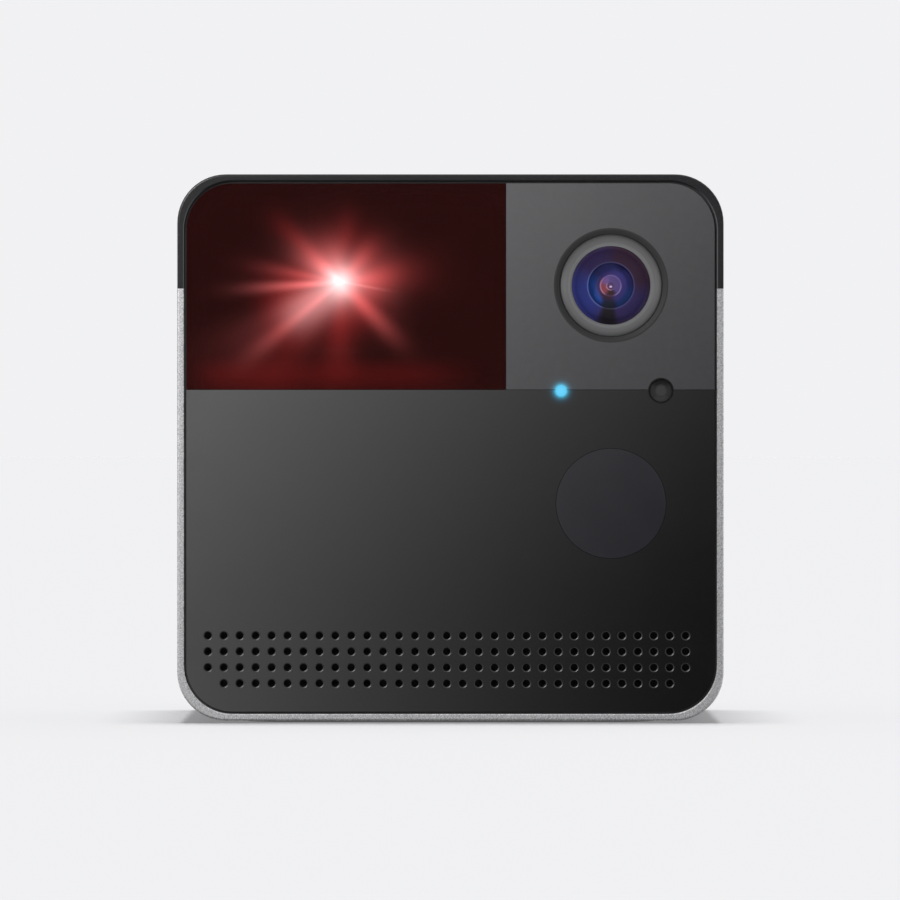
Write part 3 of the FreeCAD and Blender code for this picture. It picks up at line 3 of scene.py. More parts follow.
import bmesh
import bpy
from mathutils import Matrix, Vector


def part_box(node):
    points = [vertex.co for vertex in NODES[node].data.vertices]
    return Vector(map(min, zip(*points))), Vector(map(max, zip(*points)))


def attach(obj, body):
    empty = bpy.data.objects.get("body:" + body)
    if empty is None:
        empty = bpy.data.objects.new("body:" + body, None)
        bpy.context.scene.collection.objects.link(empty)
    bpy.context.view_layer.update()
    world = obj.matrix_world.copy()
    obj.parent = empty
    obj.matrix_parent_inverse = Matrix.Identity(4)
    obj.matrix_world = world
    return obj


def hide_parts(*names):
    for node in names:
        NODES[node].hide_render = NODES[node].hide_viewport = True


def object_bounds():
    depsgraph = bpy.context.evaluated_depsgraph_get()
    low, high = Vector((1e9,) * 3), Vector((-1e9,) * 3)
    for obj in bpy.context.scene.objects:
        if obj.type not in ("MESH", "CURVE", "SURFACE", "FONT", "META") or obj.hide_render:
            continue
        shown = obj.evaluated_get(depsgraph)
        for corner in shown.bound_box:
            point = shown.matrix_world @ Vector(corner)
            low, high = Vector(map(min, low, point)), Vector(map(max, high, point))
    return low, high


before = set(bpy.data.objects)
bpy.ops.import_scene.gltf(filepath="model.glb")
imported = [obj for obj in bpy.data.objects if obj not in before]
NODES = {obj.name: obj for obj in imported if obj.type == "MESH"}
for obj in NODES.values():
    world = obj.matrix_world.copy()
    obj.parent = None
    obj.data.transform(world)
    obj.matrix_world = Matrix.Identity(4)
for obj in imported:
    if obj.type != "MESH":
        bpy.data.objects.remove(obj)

bl_info = {
    "name": "Pet camera finishes",
    "version": (1, 0, 0),
    "blender": (4, 5, 0),
    "location": "3D View > Sidebar > Pet camera",
    "description": "Gives a cube-shaped pet camera its finishes, its glass and a soft pale studio",
    "category": "Object",
}

CAD_BOX = [list(corner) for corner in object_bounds()]
MM = 0.001


def middle(node):
    """The middle of a CAD node's box."""
    low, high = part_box(node)
    return (low + high) / 2


# Faces and centres that the finishes are drawn round, in metres
PANEL_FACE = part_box("lower_panel")[0].y
LENS_CENTRE = middle("lens_bezel")
LIGHT_CENTRE = middle("status_light_pipe")
SENSOR_CENTRE = middle("light_sensor_window")
LASER_CENTRE = middle("laser_lens")
# Radius of the status light, in millimetres
LIGHT_RADIUS = 0.8
# The finishes draw on this part of a pattern's range, where most of a noise lies
PATTERN_LOW, PATTERN_HIGH = 0.3, 0.7


# Colours, nodes and finishes

def linear(code):
    """The linear RGBA of an sRGB hex colour."""
    parts = [int(code[i:i + 2], 16) / 255 for i in (1, 3, 5)]
    return (*(c / 12.92 if c <= 0.04045 else ((c + 0.055) / 1.055) ** 2.4 for c in parts), 1.0)


def per_metre(size):
    """The texture scale of a pattern whose features are this many millimetres across."""
    return 1.0 / (size * MM)


def add(tree, kind, inputs=(), out=None, **settings):
    """Adds a node with its settings, and returns the output that is named, or else the first in use.

    Its inputs are a list in their order, or a dictionary by name or place. Each gets a value or the
    output that feeds it. A Map Range takes its value, the range it comes from and the one it goes to."""
    node = tree.nodes.new(kind)
    for name, value in settings.items():
        setattr(node, name, value)
    for name, value in inputs.items() if isinstance(inputs, dict) else enumerate(inputs):
        if isinstance(value, bpy.types.NodeSocket):
            tree.links.new(value, node.inputs[name])
        else:
            node.inputs[name].default_value = value
    if out:
        return node.outputs[out]
    return next((socket for socket in node.outputs if socket.enabled), None)


def new_finish(name, **values):
    """A material, its tree, its object coordinates and its shader with the constants of that finish."""
    made = bpy.data.materials.new(name)
    made.use_nodes = True
    tree = made.node_tree
    place = add(tree, "ShaderNodeTexCoord", out="Object")
    shader = tree.nodes["Principled BSDF"]
    for socket, value in values.items():
        shader.inputs[socket.replace("_", " ")].default_value = value
    return made, tree, place, shader


def toned(tree, shader, colour, pattern, spread):
    """Lets a pattern lighten and darken the colour by a share of it."""
    shade = add(tree, "ShaderNodeMapRange", [pattern, PATTERN_LOW, PATTERN_HIGH, 1 - spread, 1 + spread])
    tint = add(tree, "ShaderNodeVectorMath", {0: tuple(colour)[:3], "Scale": shade}, operation="SCALE")
    tree.links.new(tint, shader.inputs["Base Color"])


def matted(tree, shader, pattern, low, high):
    """Lets a pattern take the roughness from low to high."""
    matt = add(tree, "ShaderNodeMapRange", [pattern, PATTERN_LOW, PATTERN_HIGH, low, high])
    tree.links.new(matt, shader.inputs["Roughness"])


def raised(tree, shader, pattern, depth, strength):
    """Lets a pattern stand up from the surface by a depth in millimetres."""
    relief = add(tree, "ShaderNodeBump", {"Strength": strength, "Distance": depth * MM, "Height": pattern})
    for link in shader.inputs["Normal"].links:
        tree.links.new(link.from_socket, relief.node.inputs["Normal"])
    tree.links.new(relief, shader.inputs["Normal"])


def eased(tree, shader, amount):
    """Leans the shading towards the front by an amount, as on a small edge that isn't quite sharp."""
    normal = add(tree, "ShaderNodeNewGeometry", out="Normal")
    front = add(tree, "ShaderNodeVectorMath", {0: (0, -1, 0), "Scale": amount}, operation="SCALE")
    leaned = add(tree, "ShaderNodeVectorMath", [front, normal], operation="ADD")
    unit = add(tree, "ShaderNodeVectorMath", [leaned], operation="NORMALIZE")
    tree.links.new(unit, shader.inputs["Normal"])


def painted(tree, shader, share, colour):
    """Puts another colour over the finish's own, by a share."""
    own = shader.inputs["Base Color"].links[0].from_socket
    seen = add(tree, "ShaderNodeMix", {"Factor": share, "A": own, "B": tuple(colour)}, data_type="RGBA")
    tree.links.new(seen, shader.inputs["Base Color"])


def lit(tree, shader, colour, share):
    """Lets the surface give off a share of a colour."""
    light = add(tree, "ShaderNodeVectorMath", {0: colour, "Scale": share}, operation="SCALE")
    tree.links.new(light, shader.inputs["Emission Color"])


def off_axis(tree, place, centre, stretch=1.0):
    """Where a point lies from a centre, seen from the front, in millimetres, with its height stretched."""
    off = add(tree, "ShaderNodeVectorMath", [place, tuple(centre)], operation="SUBTRACT")
    return add(tree, "ShaderNodeVectorMath", [off, (1 / MM, 0, stretch / MM)], operation="MULTIPLY")


def axis_distance(tree, place, centre, stretch=1.0):
    """How far a point lies from a centre, seen from the front, in millimetres."""
    return add(tree, "ShaderNodeVectorMath", [off_axis(tree, place, centre, stretch)], operation="LENGTH")


def dressed(material, *nodes):
    """Puts a finish on CAD nodes."""
    for name in nodes:
        data = NODES[name].data
        data.materials.clear()
        data.materials.append(material)


def moulded_plastic(name, colour, roughness, grain, depth, tone=0.1):
    """A moulded plastic: the tool's even grain breaks up the shine, and the melt's flow shifts the tone."""
    made, tree, place, shader = new_finish(name, IOR=1.53)
    pits = add(tree, "ShaderNodeTexNoise", {"Vector": place, "Scale": per_metre(grain), "Detail": 3.0,
                                            "Roughness": 0.6})
    flow = add(tree, "ShaderNodeTexNoise", {"Vector": place, "Scale": per_metre(14), "Detail": 2.0})
    mixed = add(tree, "ShaderNodeMix", {"Factor": 0.4, "A": pits, "B": flow})
    toned(tree, shader, colour, mixed, tone)
    matted(tree, shader, pits, roughness - 0.06, roughness + 0.08)
    raised(tree, shader, pits, depth, 0.4)
    return made


def turned_metal(name, colour, centre, axis, pitch, roughness, metallic=1.0, specular=0.5, ease=None,
                 painted_shading=()):
    """A turned metal part: the lathe leaves fine rings round its axis, which draw the shine out sideways.

    Each of painted_shading scales the colour as painted light and shade, and ease leans the shading to
    the front. Both are two radii in millimetres and the values there."""
    made, tree, place, shader = new_finish(name, Metallic=metallic, Specular_IOR_Level=specular)
    centred = add(tree, "ShaderNodeMapping", {"Vector": place, "Location": tuple(-centre)})
    rings = add(tree, "ShaderNodeTexWave", {"Vector": centred, "Scale": per_metre(pitch) / 20,
                                            "Distortion": 0.6, "Detail": 2.0, "Detail Scale": 2.0},
                out="Fac", wave_type="RINGS", rings_direction=axis)
    toned(tree, shader, colour, rings, 0.05)
    matted(tree, shader, rings, roughness - 0.04, roughness + 0.04)
    if painted_shading or ease:
        far = axis_distance(tree, place, centre)
    for zone in painted_shading:
        even = shader.inputs["Base Color"].links[0].from_socket
        share = add(tree, "ShaderNodeMapRange", [far, *zone])
        scaled = add(tree, "ShaderNodeVectorMath", {0: even, "Scale": share}, operation="SCALE")
        tree.links.new(scaled, shader.inputs["Base Color"])
    if ease:
        eased(tree, shader, add(tree, "ShaderNodeMapRange", [far, *ease]))
    raised(tree, shader, rings, 0.006, 0.15)
    return made


def drawn_metal(name, colour, roughness, stretch, streak):
    """Rolled, drawn or extruded metal: fine streaks the way it was worked, under faint clouds of handling."""
    made, tree, place, shader = new_finish(name, Metallic=1.0)
    along = add(tree, "ShaderNodeMapping", {"Vector": place, "Scale": stretch})
    lines = add(tree, "ShaderNodeTexNoise", {"Vector": along, "Scale": per_metre(streak), "Detail": 3.0})
    clouds = add(tree, "ShaderNodeTexNoise", {"Vector": place, "Scale": per_metre(5), "Detail": 4.0})
    toned(tree, shader, colour, lines, 0.08)
    matted(tree, shader, clouds, roughness - 0.06, roughness + 0.08)
    raised(tree, shader, lines, 0.004, 0.2)
    return made


def partly(material, centre, half, colour, metallic):
    """Gives a finish another colour and metallic value in a box: its middle and half widths in metres."""
    tree = material.node_tree
    shader = tree.nodes["Principled BSDF"]
    place = tree.nodes["Texture Coordinate"].outputs["Object"]
    off = add(tree, "ShaderNodeVectorMath", [place, centre], operation="SUBTRACT")
    away = add(tree, "ShaderNodeVectorMath", [off], operation="ABSOLUTE")
    room = add(tree, "ShaderNodeVectorMath", [half, away], operation="SUBTRACT")
    sides = add(tree, "ShaderNodeSeparateXYZ", [room]).node.outputs
    least = add(tree, "ShaderNodeMath", [sides["X"], sides["Y"]], operation="MINIMUM")
    least = add(tree, "ShaderNodeMath", [least, sides["Z"]], operation="MINIMUM")
    inside = add(tree, "ShaderNodeMath", [least, 0.0], operation="GREATER_THAN")
    painted(tree, shader, inside, colour)
    metal = add(tree, "ShaderNodeMix", {"Factor": inside, "A": shader.inputs["Metallic"].default_value,
                                        "B": metallic})
    tree.links.new(metal, shader.inputs["Metallic"])


# Objects and meshes

def placed(name, data):
    """A new object, in the scene."""
    thing = bpy.data.objects.new(name, data)
    bpy.context.scene.collection.objects.link(thing)
    return thing


def closed_mesh(name, shape):
    """The mesh of a closed shape, with its faces turned outwards."""
    bmesh.ops.recalc_face_normals(shape, faces=shape.faces)
    mesh = bpy.data.meshes.new(name)
    shape.to_mesh(mesh)
    shape.free()
    return mesh


# Casing

class CasingSettings(bpy.types.PropertyGroup):
    metal: bpy.props.FloatVectorProperty(
        name="Metal", description="Colour of the anodised sleeve", subtype="COLOR", size=4,
        min=0, max=1, default=linear("#d9d9db"))
    metal_roughness: bpy.props.FloatProperty(
        name="Metal roughness", description="How matt the blasted sleeve is", subtype="FACTOR",
        min=0, max=1, default=0.46)
    blast_grain: bpy.props.FloatProperty(
        name="Blasting grain", description="Width of the dimples left by the blasting", unit="LENGTH",
        min=0.0001, max=0.002, default=0.0002)
    cap: bpy.props.FloatVectorProperty(
        name="Cap", description="Colour of the moulded cap and back", subtype="COLOR", size=4,
        min=0, max=1, default=linear("#121215"))


def painted_lip_highlights(material, colour):
    """Paints a highlight on the upright bevels that face inwards, lightening the sides of the opening."""
    tree = material.node_tree
    coordinates = tree.nodes["Texture Coordinate"].outputs
    facing = add(tree, "ShaderNodeSeparateXYZ", [coordinates["Normal"]], out="X")
    where = add(tree, "ShaderNodeSeparateXYZ", [coordinates["Object"]], out="X")
    outward = add(tree, "ShaderNodeMath", [facing, where], operation="MULTIPLY")
    # 40 mm from the middle a bevel at 45 degrees comes to -0.028
    inward = add(tree, "ShaderNodeMapRange", [outward, -0.014, -0.026])
    painted(tree, tree.nodes["Principled BSDF"], inward, colour)


def bead_blasted_aluminium(colour, roughness, grain):
    """Extruded aluminium, bead blasted and clear anodised: an even satin silver with a fine sparkle."""
    made, tree, place, shader = new_finish("bead_blasted_anodised_aluminium", Metallic=1.0)
    # Blasting leaves dimples of about 0.1 mm. They are drawn at 0.2 mm, a pixel or two of the render.
    dimples = add(tree, "ShaderNodeTexNoise", {"Vector": place, "Scale": 1.0 / grain, "Detail": 1.0,
                                               "Roughness": 0.5})
    # A coarser grain between them, so that the sides aren't plain from further away
    uneven = add(tree, "ShaderNodeTexNoise", {"Vector": place, "Scale": 0.4 / grain, "Detail": 2.0})
    mixed = add(tree, "ShaderNodeMix", {"Factor": 0.3, "A": dimples, "B": uneven})
    toned(tree, shader, colour, mixed, 0.42)
    matted(tree, shader, dimples, roughness + 0.06, roughness - 0.06)
    raised(tree, shader, dimples, 0.02, 0.35)
    return made


class PET_OT_casing(bpy.types.Operator):
    """Finish the sleeve, the cap, the back and the mouldings inside"""
    bl_idname = "pet_camera.casing"
    bl_label = "Casing"

    def execute(self, context):
        chosen = context.scene.pet_casing
        dressed(bead_blasted_aluminium(chosen.metal, chosen.metal_roughness, chosen.blast_grain),
                "body_sleeve")
        # ABS from a spark-eroded tool: a dry, even black with a cold sheen
        dressed(moulded_plastic("spark_eroded_abs", chosen.cap, 0.34, 0.3, 0.02), "rear_cover")
        # The same ABS, with a painted highlight on the upright bevels that face into its opening
        cap = moulded_plastic("abs_with_painted_lip_highlights", chosen.cap, 0.34, 0.3, 0.02)
        painted_lip_highlights(cap, linear("#4a4a4d"))
        dressed(cap, "top_cover")
        # Glass-filled ABS inside: a little greyer and rougher, as the fibres come to the surface
        dressed(moulded_plastic("glass_filled_abs", linear("#1c1c1d"), 0.58, 0.5, 0.015, 0.16),
                "front_frame", "chassis", "camera_bracket", "lens_holder", "laser_deck", "speaker_box",
                "speaker_basket")
        return {"FINISHED"}


# Front panels

class FrontSettings(bpy.types.PropertyGroup):
    upper_ink: bpy.props.FloatVectorProperty(
        name="Upper ink", description="Ink behind the clear face round the lens", subtype="COLOR", size=4,
        min=0, max=1, default=linear("#353537"))
    lower_ink: bpy.props.FloatVectorProperty(
        name="Lower ink", description="Ink behind the clear face with the sound holes", subtype="COLOR",
        size=4, min=0, max=1, default=linear("#111011"))
    cut_edge: bpy.props.FloatVectorProperty(
        name="Cut edge", description="Satin edge that the cutter leaves on the clear faces",
        subtype="COLOR", size=4, min=0, max=1, default=linear("#262628"))
    night_window: bpy.props.FloatVectorProperty(
        name="Night window", description="Colour of the infrared window", subtype="COLOR", size=4,
        min=0, max=1, default=linear("#1c1c21"))
    cloth_thread: bpy.props.FloatProperty(
        name="Cloth thread", description="Spacing of the acoustic cloth's threads", unit="LENGTH",
        min=0.00005, max=0.001, default=0.00025)
    status: bpy.props.FloatVectorProperty(
        name="Status light", description="Colour of the lit status light", subtype="COLOR", size=4,
        min=0, max=1, default=linear("#60d2fd"))
    # The glow round the status light is painted on the panels as emission
    painted_glow_reach: bpy.props.FloatProperty(
        name="Glow reach", description="How soon the status light's glow fades", unit="LENGTH",
        min=0.0001, max=0.002, default=0.00027)


def back_printed_panel(name, ink, edge, glow, reach):
    """Hard-coated polycarbonate printed on its back: a mirror-smooth face over even ink, satin where cut."""
    made, tree, place, shader = new_finish(name, IOR=1.5, Emission_Strength=1.0)
    # The cutter's satin finish on every bevel, but not on the walls of the holes
    facing = add(tree, "ShaderNodeSeparateXYZ", [tree.nodes["Texture Coordinate"].outputs["Normal"]], out="Y")
    tilt = add(tree, "ShaderNodeMath", [facing], operation="ABSOLUTE")
    off_wall = add(tree, "ShaderNodeMapRange", [tilt, 0.2, 0.5], interpolation_type="SMOOTHSTEP")
    off_face = add(tree, "ShaderNodeMapRange", [tilt, 0.97, 0.8], interpolation_type="SMOOTHSTEP")
    cut = add(tree, "ShaderNodeMath", [off_wall, off_face], operation="MULTIPLY")
    mottle = add(tree, "ShaderNodeTexNoise", {"Vector": place, "Scale": per_metre(1.2), "Detail": 4.0})
    toned(tree, shader, ink, mottle, 0.05)
    painted(tree, shader, cut, edge)
    smear = add(tree, "ShaderNodeTexNoise", {"Vector": place, "Scale": per_metre(7), "Detail": 5.0})
    matted(tree, shader, smear, 0.03, 0.06)
    polish = shader.inputs["Roughness"].links[0].from_socket
    matt = add(tree, "ShaderNodeMix", {"Factor": cut, "A": polish, "B": 0.38})
    tree.links.new(matt, shader.inputs["Roughness"])
    eased(tree, shader, add(tree, "ShaderNodeMath", [cut, 0.8], operation="MULTIPLY"))
    # Painted light: the status light's glow, painted on the sheet as emission that fades away from it
    far = axis_distance(tree, place, LIGHT_CENTRE)
    past = add(tree, "ShaderNodeMath", [LIGHT_RADIUS, far], operation="SUBTRACT")
    fade = add(tree, "ShaderNodeMath", [past, reach / MM], operation="DIVIDE")
    share = add(tree, "ShaderNodeMath", [fade], operation="EXPONENT")
    lit(tree, shader, (glow[0] * 0.5, glow[1] * 0.85, glow[2] * 0.85), share)
    return made


def infrared_polycarbonate(colour):
    """Infrared-pass polycarbonate, polished: near black with a cold violet tone under a mirror face."""
    made, tree, place, shader = new_finish("infrared_pass_polycarbonate", IOR=1.5)
    flow = add(tree, "ShaderNodeTexNoise", {"Vector": place, "Scale": per_metre(5), "Detail": 3.0})
    toned(tree, shader, colour, flow, 0.06)
    matted(tree, shader, flow, 0.03, 0.06)
    return made


def woven_cloth(thread):
    """Woven polyester acoustic cloth: dull black threads, with a painted pinprick of light wherever they
    cross.
    """
    made, tree, place, shader = new_finish("woven_polyester_cloth", IOR=1.5, Sheen_Weight=0.15)
    weave = [add(tree, "ShaderNodeTexWave", {"Vector": place, "Scale": 1.0 / thread / 20}, out="Fac",
                 bands_direction=direction) for direction in ("X", "Z")]
    crossed = add(tree, "ShaderNodeMath", weave, operation="MAXIMUM")
    toned(tree, shader, linear("#0d0d0e"), crossed, 0.4)
    matted(tree, shader, crossed, 0.95, 0.7)
    raised(tree, shader, crossed, 0.05, 0.6)
    return made


def lit_light_pipe(colour):
    """A polished polycarbonate rod, lit from behind: brightest in its middle, a little dimmer at its rim."""
    made, tree, place, shader = new_finish("lit_clear_polycarbonate", Base_Color=(0.02, 0.02, 0.02, 1.0),
                                           Roughness=0.2, Emission_Strength=1.0)
    far = axis_distance(tree, place, LIGHT_CENTRE)
    lit(tree, shader, tuple(colour)[:3], add(tree, "ShaderNodeMapRange", [far, 0.4, 0.85, 1.0, 0.85]))
    return made


def smoked_polycarbonate():
    """Smoked polycarbonate over the light sensor: black at its rim, with the sensor's grey dome inside."""
    made, tree, place, shader = new_finish("smoked_polycarbonate", Roughness=0.1, Specular_IOR_Level=0.3)
    far = axis_distance(tree, place, SENSOR_CENTRE)
    # The ramp runs over 2 mm
    share = add(tree, "ShaderNodeMath", [far, 2.0], operation="DIVIDE")
    rings = add(tree, "ShaderNodeValToRGB", [share])
    fill_ramp(rings.node, [(0.3, "#323332"), (0.5, "#222222"), (0.8, "#151415"), (0.95, "#0f0f10")])
    tree.links.new(rings, shader.inputs["Base Color"])
    return made


def fill_ramp(ramp, stops):
    """Gives a colour ramp its stops, as position and sRGB hex colour."""
    elements = ramp.color_ramp.elements
    while len(elements) < len(stops):
        elements.new(0.5)
    for element, (position, code) in zip(elements, stops):
        element.position = position
        element.color = linear(code)


class PET_OT_front(bpy.types.Operator):
    """Finish the front panels, the small windows, the status light and the cloth behind the sound holes"""
    bl_idname = "pet_camera.front"
    bl_label = "Front panels"

    def execute(self, context):
        chosen = context.scene.pet_front
        for name, ink, node in (("grey_printed_polycarbonate", chosen.upper_ink, "camera_panel"),
                                ("black_printed_polycarbonate", chosen.lower_ink, "lower_panel")):
            dressed(back_printed_panel(name, ink, chosen.cut_edge, chosen.status, chosen.painted_glow_reach), node)
        dressed(infrared_polycarbonate(chosen.night_window), "ir_window")
        dressed(woven_cloth(chosen.cloth_thread), "grille_cloth")
        dressed(lit_light_pipe(chosen.status), "status_light_pipe")
        dressed(smoked_polycarbonate(), "light_sensor_window")
        return {"FINISHED"}


# Laser window

class LaserSettings(bpy.types.PropertyGroup):
    window: bpy.props.FloatVectorProperty(
        name="Window", description="Colour of the red window", subtype="COLOR", size=4,
        min=0, max=1, default=linear("#371716"))
    # The laser's glare is painted on the window as emission
    glare: bpy.props.FloatProperty(
        name="Glare", description="Strength of the laser's glare in the window", subtype="FACTOR",
        min=0, max=4, default=1.0)


# Rays of the painted glare: angle, half width, how it widens, length in mm, sharpness of its end, red and
# pink light
PAINTED_GLARE_RAYS = [
    (7.5, 0.15, 0.23, 9.9, 2.5, 0.19, 0.02),
    (49.5, 0.75, 0.145, 5.5, 2.3, 0.54, 0.08),
    (84, 0.76, 0.09, 10.0, 5.0, 0.06, 0.005),
    (109.5, 0.78, 0.265, 4.7, 2.0, 0.66, 0.135),
    (136, 0.18, 0.12, 12.7, 5.0, 0.085, 0.005),
    (143.5, 0.15, 0.285, 5.8, 2.1, 0.77, 0.185),
    (170, 0.15, 0.09, 9.3, 2.4, 0.32, 0.05),
    (184, 0.3, 0.046, 10.3, 2.4, 0.61, 0.13),
    (208, 0.15, 0.14, 13.6, 1.8, 0.15, 0.03),
    (219, 0.15, 0.083, 15.7, 3.7, 0.25, 0.05),
    (217, 2.3, 0.03, 9.5, 5.0, 0.12, 0.18),
    (230, 0.15, 0.26, 19.6, 3.0, 0.065, 0.005),
    (267.5, 0.15, 0.205, 14.0, 5.0, 0.08, 0.005),
    (314, 0.74, 0.066, 9.4, 2.7, 0.4, 0.065),
    (328, 2.4, 0.39, 5.3, 3.5, 0.24, 0.01),
    (349.5, 0.15, 0.013, 6.0, 3.9, 0.17, 0.065),
    (3, 0.15, 0.5, 6.8, 2.8, 0.3, 0.07),
    (208, 2.4, 0.19, 10.6, 4.4, 0.31, 0.015),
]
# Round painted glows of the glare: size in mm², red and pink light
PAINTED_GLARE_GLOWS = [(3.7, 0.3, 0.455), (11.5, 0.0, 0.17), (31.6, 0.25, 0.0), (47, 0.0, 0.01)]
# A low band of red, painted as light where the light spills on to the deck: its colour, and its soft ends in
# millimetres from the laser, each from dark to full
PAINTED_SPILL_BAND = (0.034, 0.001, 0.001)
PAINTED_SPILL_BAND_ENDS = [("Z", -10.5, -14.0), ("Z", -18.0, -14.0), ("X", -24.0, -17.5), ("X", 23.0, 8.0)]


def painted_glare_ray_group():
    """One ray of the painted glare: it starts at the middle, widens with its length and fades to its end."""
    tree = bpy.data.node_groups.new("painted_glare_ray", "ShaderNodeTree")
    for name, kind in (("Place", "Vector"), ("Turn", "Float"), ("Width", "Float"), ("Spread", "Float"),
                       ("Length", "Float"), ("Sharpness", "Float"), ("Colour", "Vector"),
                       ("Under", "Vector")):
        tree.interface.new_socket(name, in_out="INPUT", socket_type="NodeSocket" + kind)
    tree.interface.new_socket("Light", in_out="OUTPUT", socket_type="NodeSocketVector")
    given = add(tree, "NodeGroupInput").node.outputs
    turned = add(tree, "ShaderNodeVectorRotate", {"Vector": given["Place"], "Axis": (0, 1, 0),
                                                  "Angle": given["Turn"]}, rotation_type="AXIS_ANGLE")
    parts = add(tree, "ShaderNodeSeparateXYZ", [turned]).node.outputs
    along = add(tree, "ShaderNodeMath", [parts["X"], 0.0], operation="MAXIMUM")
    half = add(tree, "ShaderNodeMath", [along, given["Spread"], given["Width"]], operation="MULTIPLY_ADD")
    across = add(tree, "ShaderNodeMath", [parts["Z"], half], operation="DIVIDE")
    side = add(tree, "ShaderNodeMath", [across, across], operation="MULTIPLY")
    reach = add(tree, "ShaderNodeMath", [along, given["Length"]], operation="DIVIDE")
    end = add(tree, "ShaderNodeMath", [reach, given["Sharpness"]], operation="POWER")
    drop = add(tree, "ShaderNodeMath", [side, end], operation="ADD")
    down = add(tree, "ShaderNodeMath", [0.0, drop], operation="SUBTRACT")
    fade = add(tree, "ShaderNodeMath", [down], operation="EXPONENT")
    start = add(tree, "ShaderNodeMapRange", [parts["X"], -0.6, 0.6], interpolation_type="SMOOTHSTEP")
    shown = add(tree, "ShaderNodeMath", [fade, start], operation="MULTIPLY")
    light = add(tree, "ShaderNodeVectorMath", {0: given["Colour"], "Scale": shown}, operation="SCALE")
    total = add(tree, "ShaderNodeVectorMath", [light, given["Under"]], operation="ADD")
    add(tree, "NodeGroupOutput", [total])
    return tree


def red_acrylic_with_painted_glare(colour, strength):
    """Cast red acrylic, polished: dark wine red, with the laser's starry glare and a low band of red painted
    on as light.
    """
    opacity = 0.88
    made, tree, place, shader = new_finish("cast_red_acrylic_painted_glare", Roughness=0.04, IOR=1.49, Alpha=opacity,
                                           Emission_Strength=1.0)
    depth = add(tree, "ShaderNodeTexNoise", {"Vector": place, "Scale": per_metre(6), "Detail": 3.0})
    toned(tree, shader, colour, depth, 0.06)
    where = off_axis(tree, place, LASER_CENTRE)
    parts = add(tree, "ShaderNodeSeparateXYZ", [where]).node.outputs
    total = PAINTED_SPILL_BAND
    for axis, dark, full in PAINTED_SPILL_BAND_ENDS:
        side = add(tree, "ShaderNodeMapRange", [parts[axis], dark, full], interpolation_type="SMOOTHSTEP")
        total = add(tree, "ShaderNodeVectorMath", {0: total, "Scale": side}, operation="SCALE")
    distance = add(tree, "ShaderNodeVectorMath", [where], operation="LENGTH")
    square = add(tree, "ShaderNodeMath", [distance, distance], operation="MULTIPLY")
    for size, red, pink in PAINTED_GLARE_GLOWS:
        drop = add(tree, "ShaderNodeMath", [square, -1.0 / size], operation="MULTIPLY")
        glow = add(tree, "ShaderNodeMath", [drop], operation="EXPONENT")
        light = add(tree, "ShaderNodeVectorMath", {0: (red, pink, pink), "Scale": glow}, operation="SCALE")
        total = add(tree, "ShaderNodeVectorMath", [light, total], operation="ADD")
    group = painted_glare_ray_group()
    for angle, width, spread, length, sharpness, red, pink in PAINTED_GLARE_RAYS:
        total = add(tree, "ShaderNodeGroup", [where, math.radians(angle), width, spread, length, sharpness,
                                              (red, pink, pink), total], node_tree=group)
    # The glare and the band are painted light, given off by the window
    lit(tree, shader, total, strength / opacity)
    return made


def lit_laser_lens():
    """The moulded acrylic lens of the laser, lit from behind in red."""
    made, tree, place, shader = new_finish("lit_moulded_acrylic", Roughness=0.05, IOR=1.49,
                                           Base_Color=linear("#5a1512"), Emission_Strength=3.0)
    far = add(tree, "ShaderNodeVectorMath", [place, tuple(LASER_CENTRE)], operation="DISTANCE")
    fade = add(tree, "ShaderNodeMapRange", [far, 1.6 * MM, 0.2 * MM], interpolation_type="SMOOTHSTEP")
    lit(tree, shader, (1.0, 0.06, 0.05), fade)
    return made


class PET_OT_laser(bpy.types.Operator):
    """Finish the red window and the laser pointer and its gears behind it"""
    bl_idname = "pet_camera.laser"
    bl_label = "Laser pointer and window"

    def execute(self, context):
        chosen = context.scene.pet_laser
        dressed(red_acrylic_with_painted_glare(chosen.window, chosen.glare), "laser_window")
        dressed(lit_laser_lens(), "laser_lens")
        # Turned brass: warm yellow with the lathe's rings on its face
        dressed(turned_metal("turned_brass", linear("#c8a25c"), LASER_CENTRE, "Y", 0.3, 0.3), "laser_module")
        # Natural acetal, moulded: a waxy off-white with hardly any grain
        dressed(moulded_plastic("moulded_acetal", linear("#d8d5cb"), 0.4, 0.6, 0.006, 0.05),
                "laser_cradle", "tilt_gear", "tilt_pinion", "laser_yoke", "pan_gear", "pan_pinion",
                "pan_bush")
        # Drawn steel motor cans, nickel plated: warm grey with faint streaks round the can
        dressed(drawn_metal("nickel_plated_drawn_steel", linear("#b9b6ae"), 0.28, (1, 1, 8), 0.4),
                "tilt_motor", "pan_motor", "yoke_clip")
        return {"FINISHED"}


# Lens

class LensSettings(bpy.types.PropertyGroup):
    bezel: bpy.props.FloatVectorProperty(
        name="Bezel", description="Colour of the satin ring", subtype="COLOR", size=4,
        min=0, max=1, default=linear("#616162"))
    glass_radius: bpy.props.FloatProperty(
        name="Glass radius", description="Radius of the front glass", unit="LENGTH",
        min=0.005, max=0.00586, default=0.00586)
    dome_height: bpy.props.FloatProperty(
        name="Dome height", description="How far the front glass bulges from its edge", unit="LENGTH",
        min=0.0002, max=0.0011, default=0.0011)
    inner_radius: bpy.props.FloatProperty(
        name="Inner radius", description="Radius of the glass behind the front one", unit="LENGTH",
        min=0.002, max=0.00348, default=0.00348)
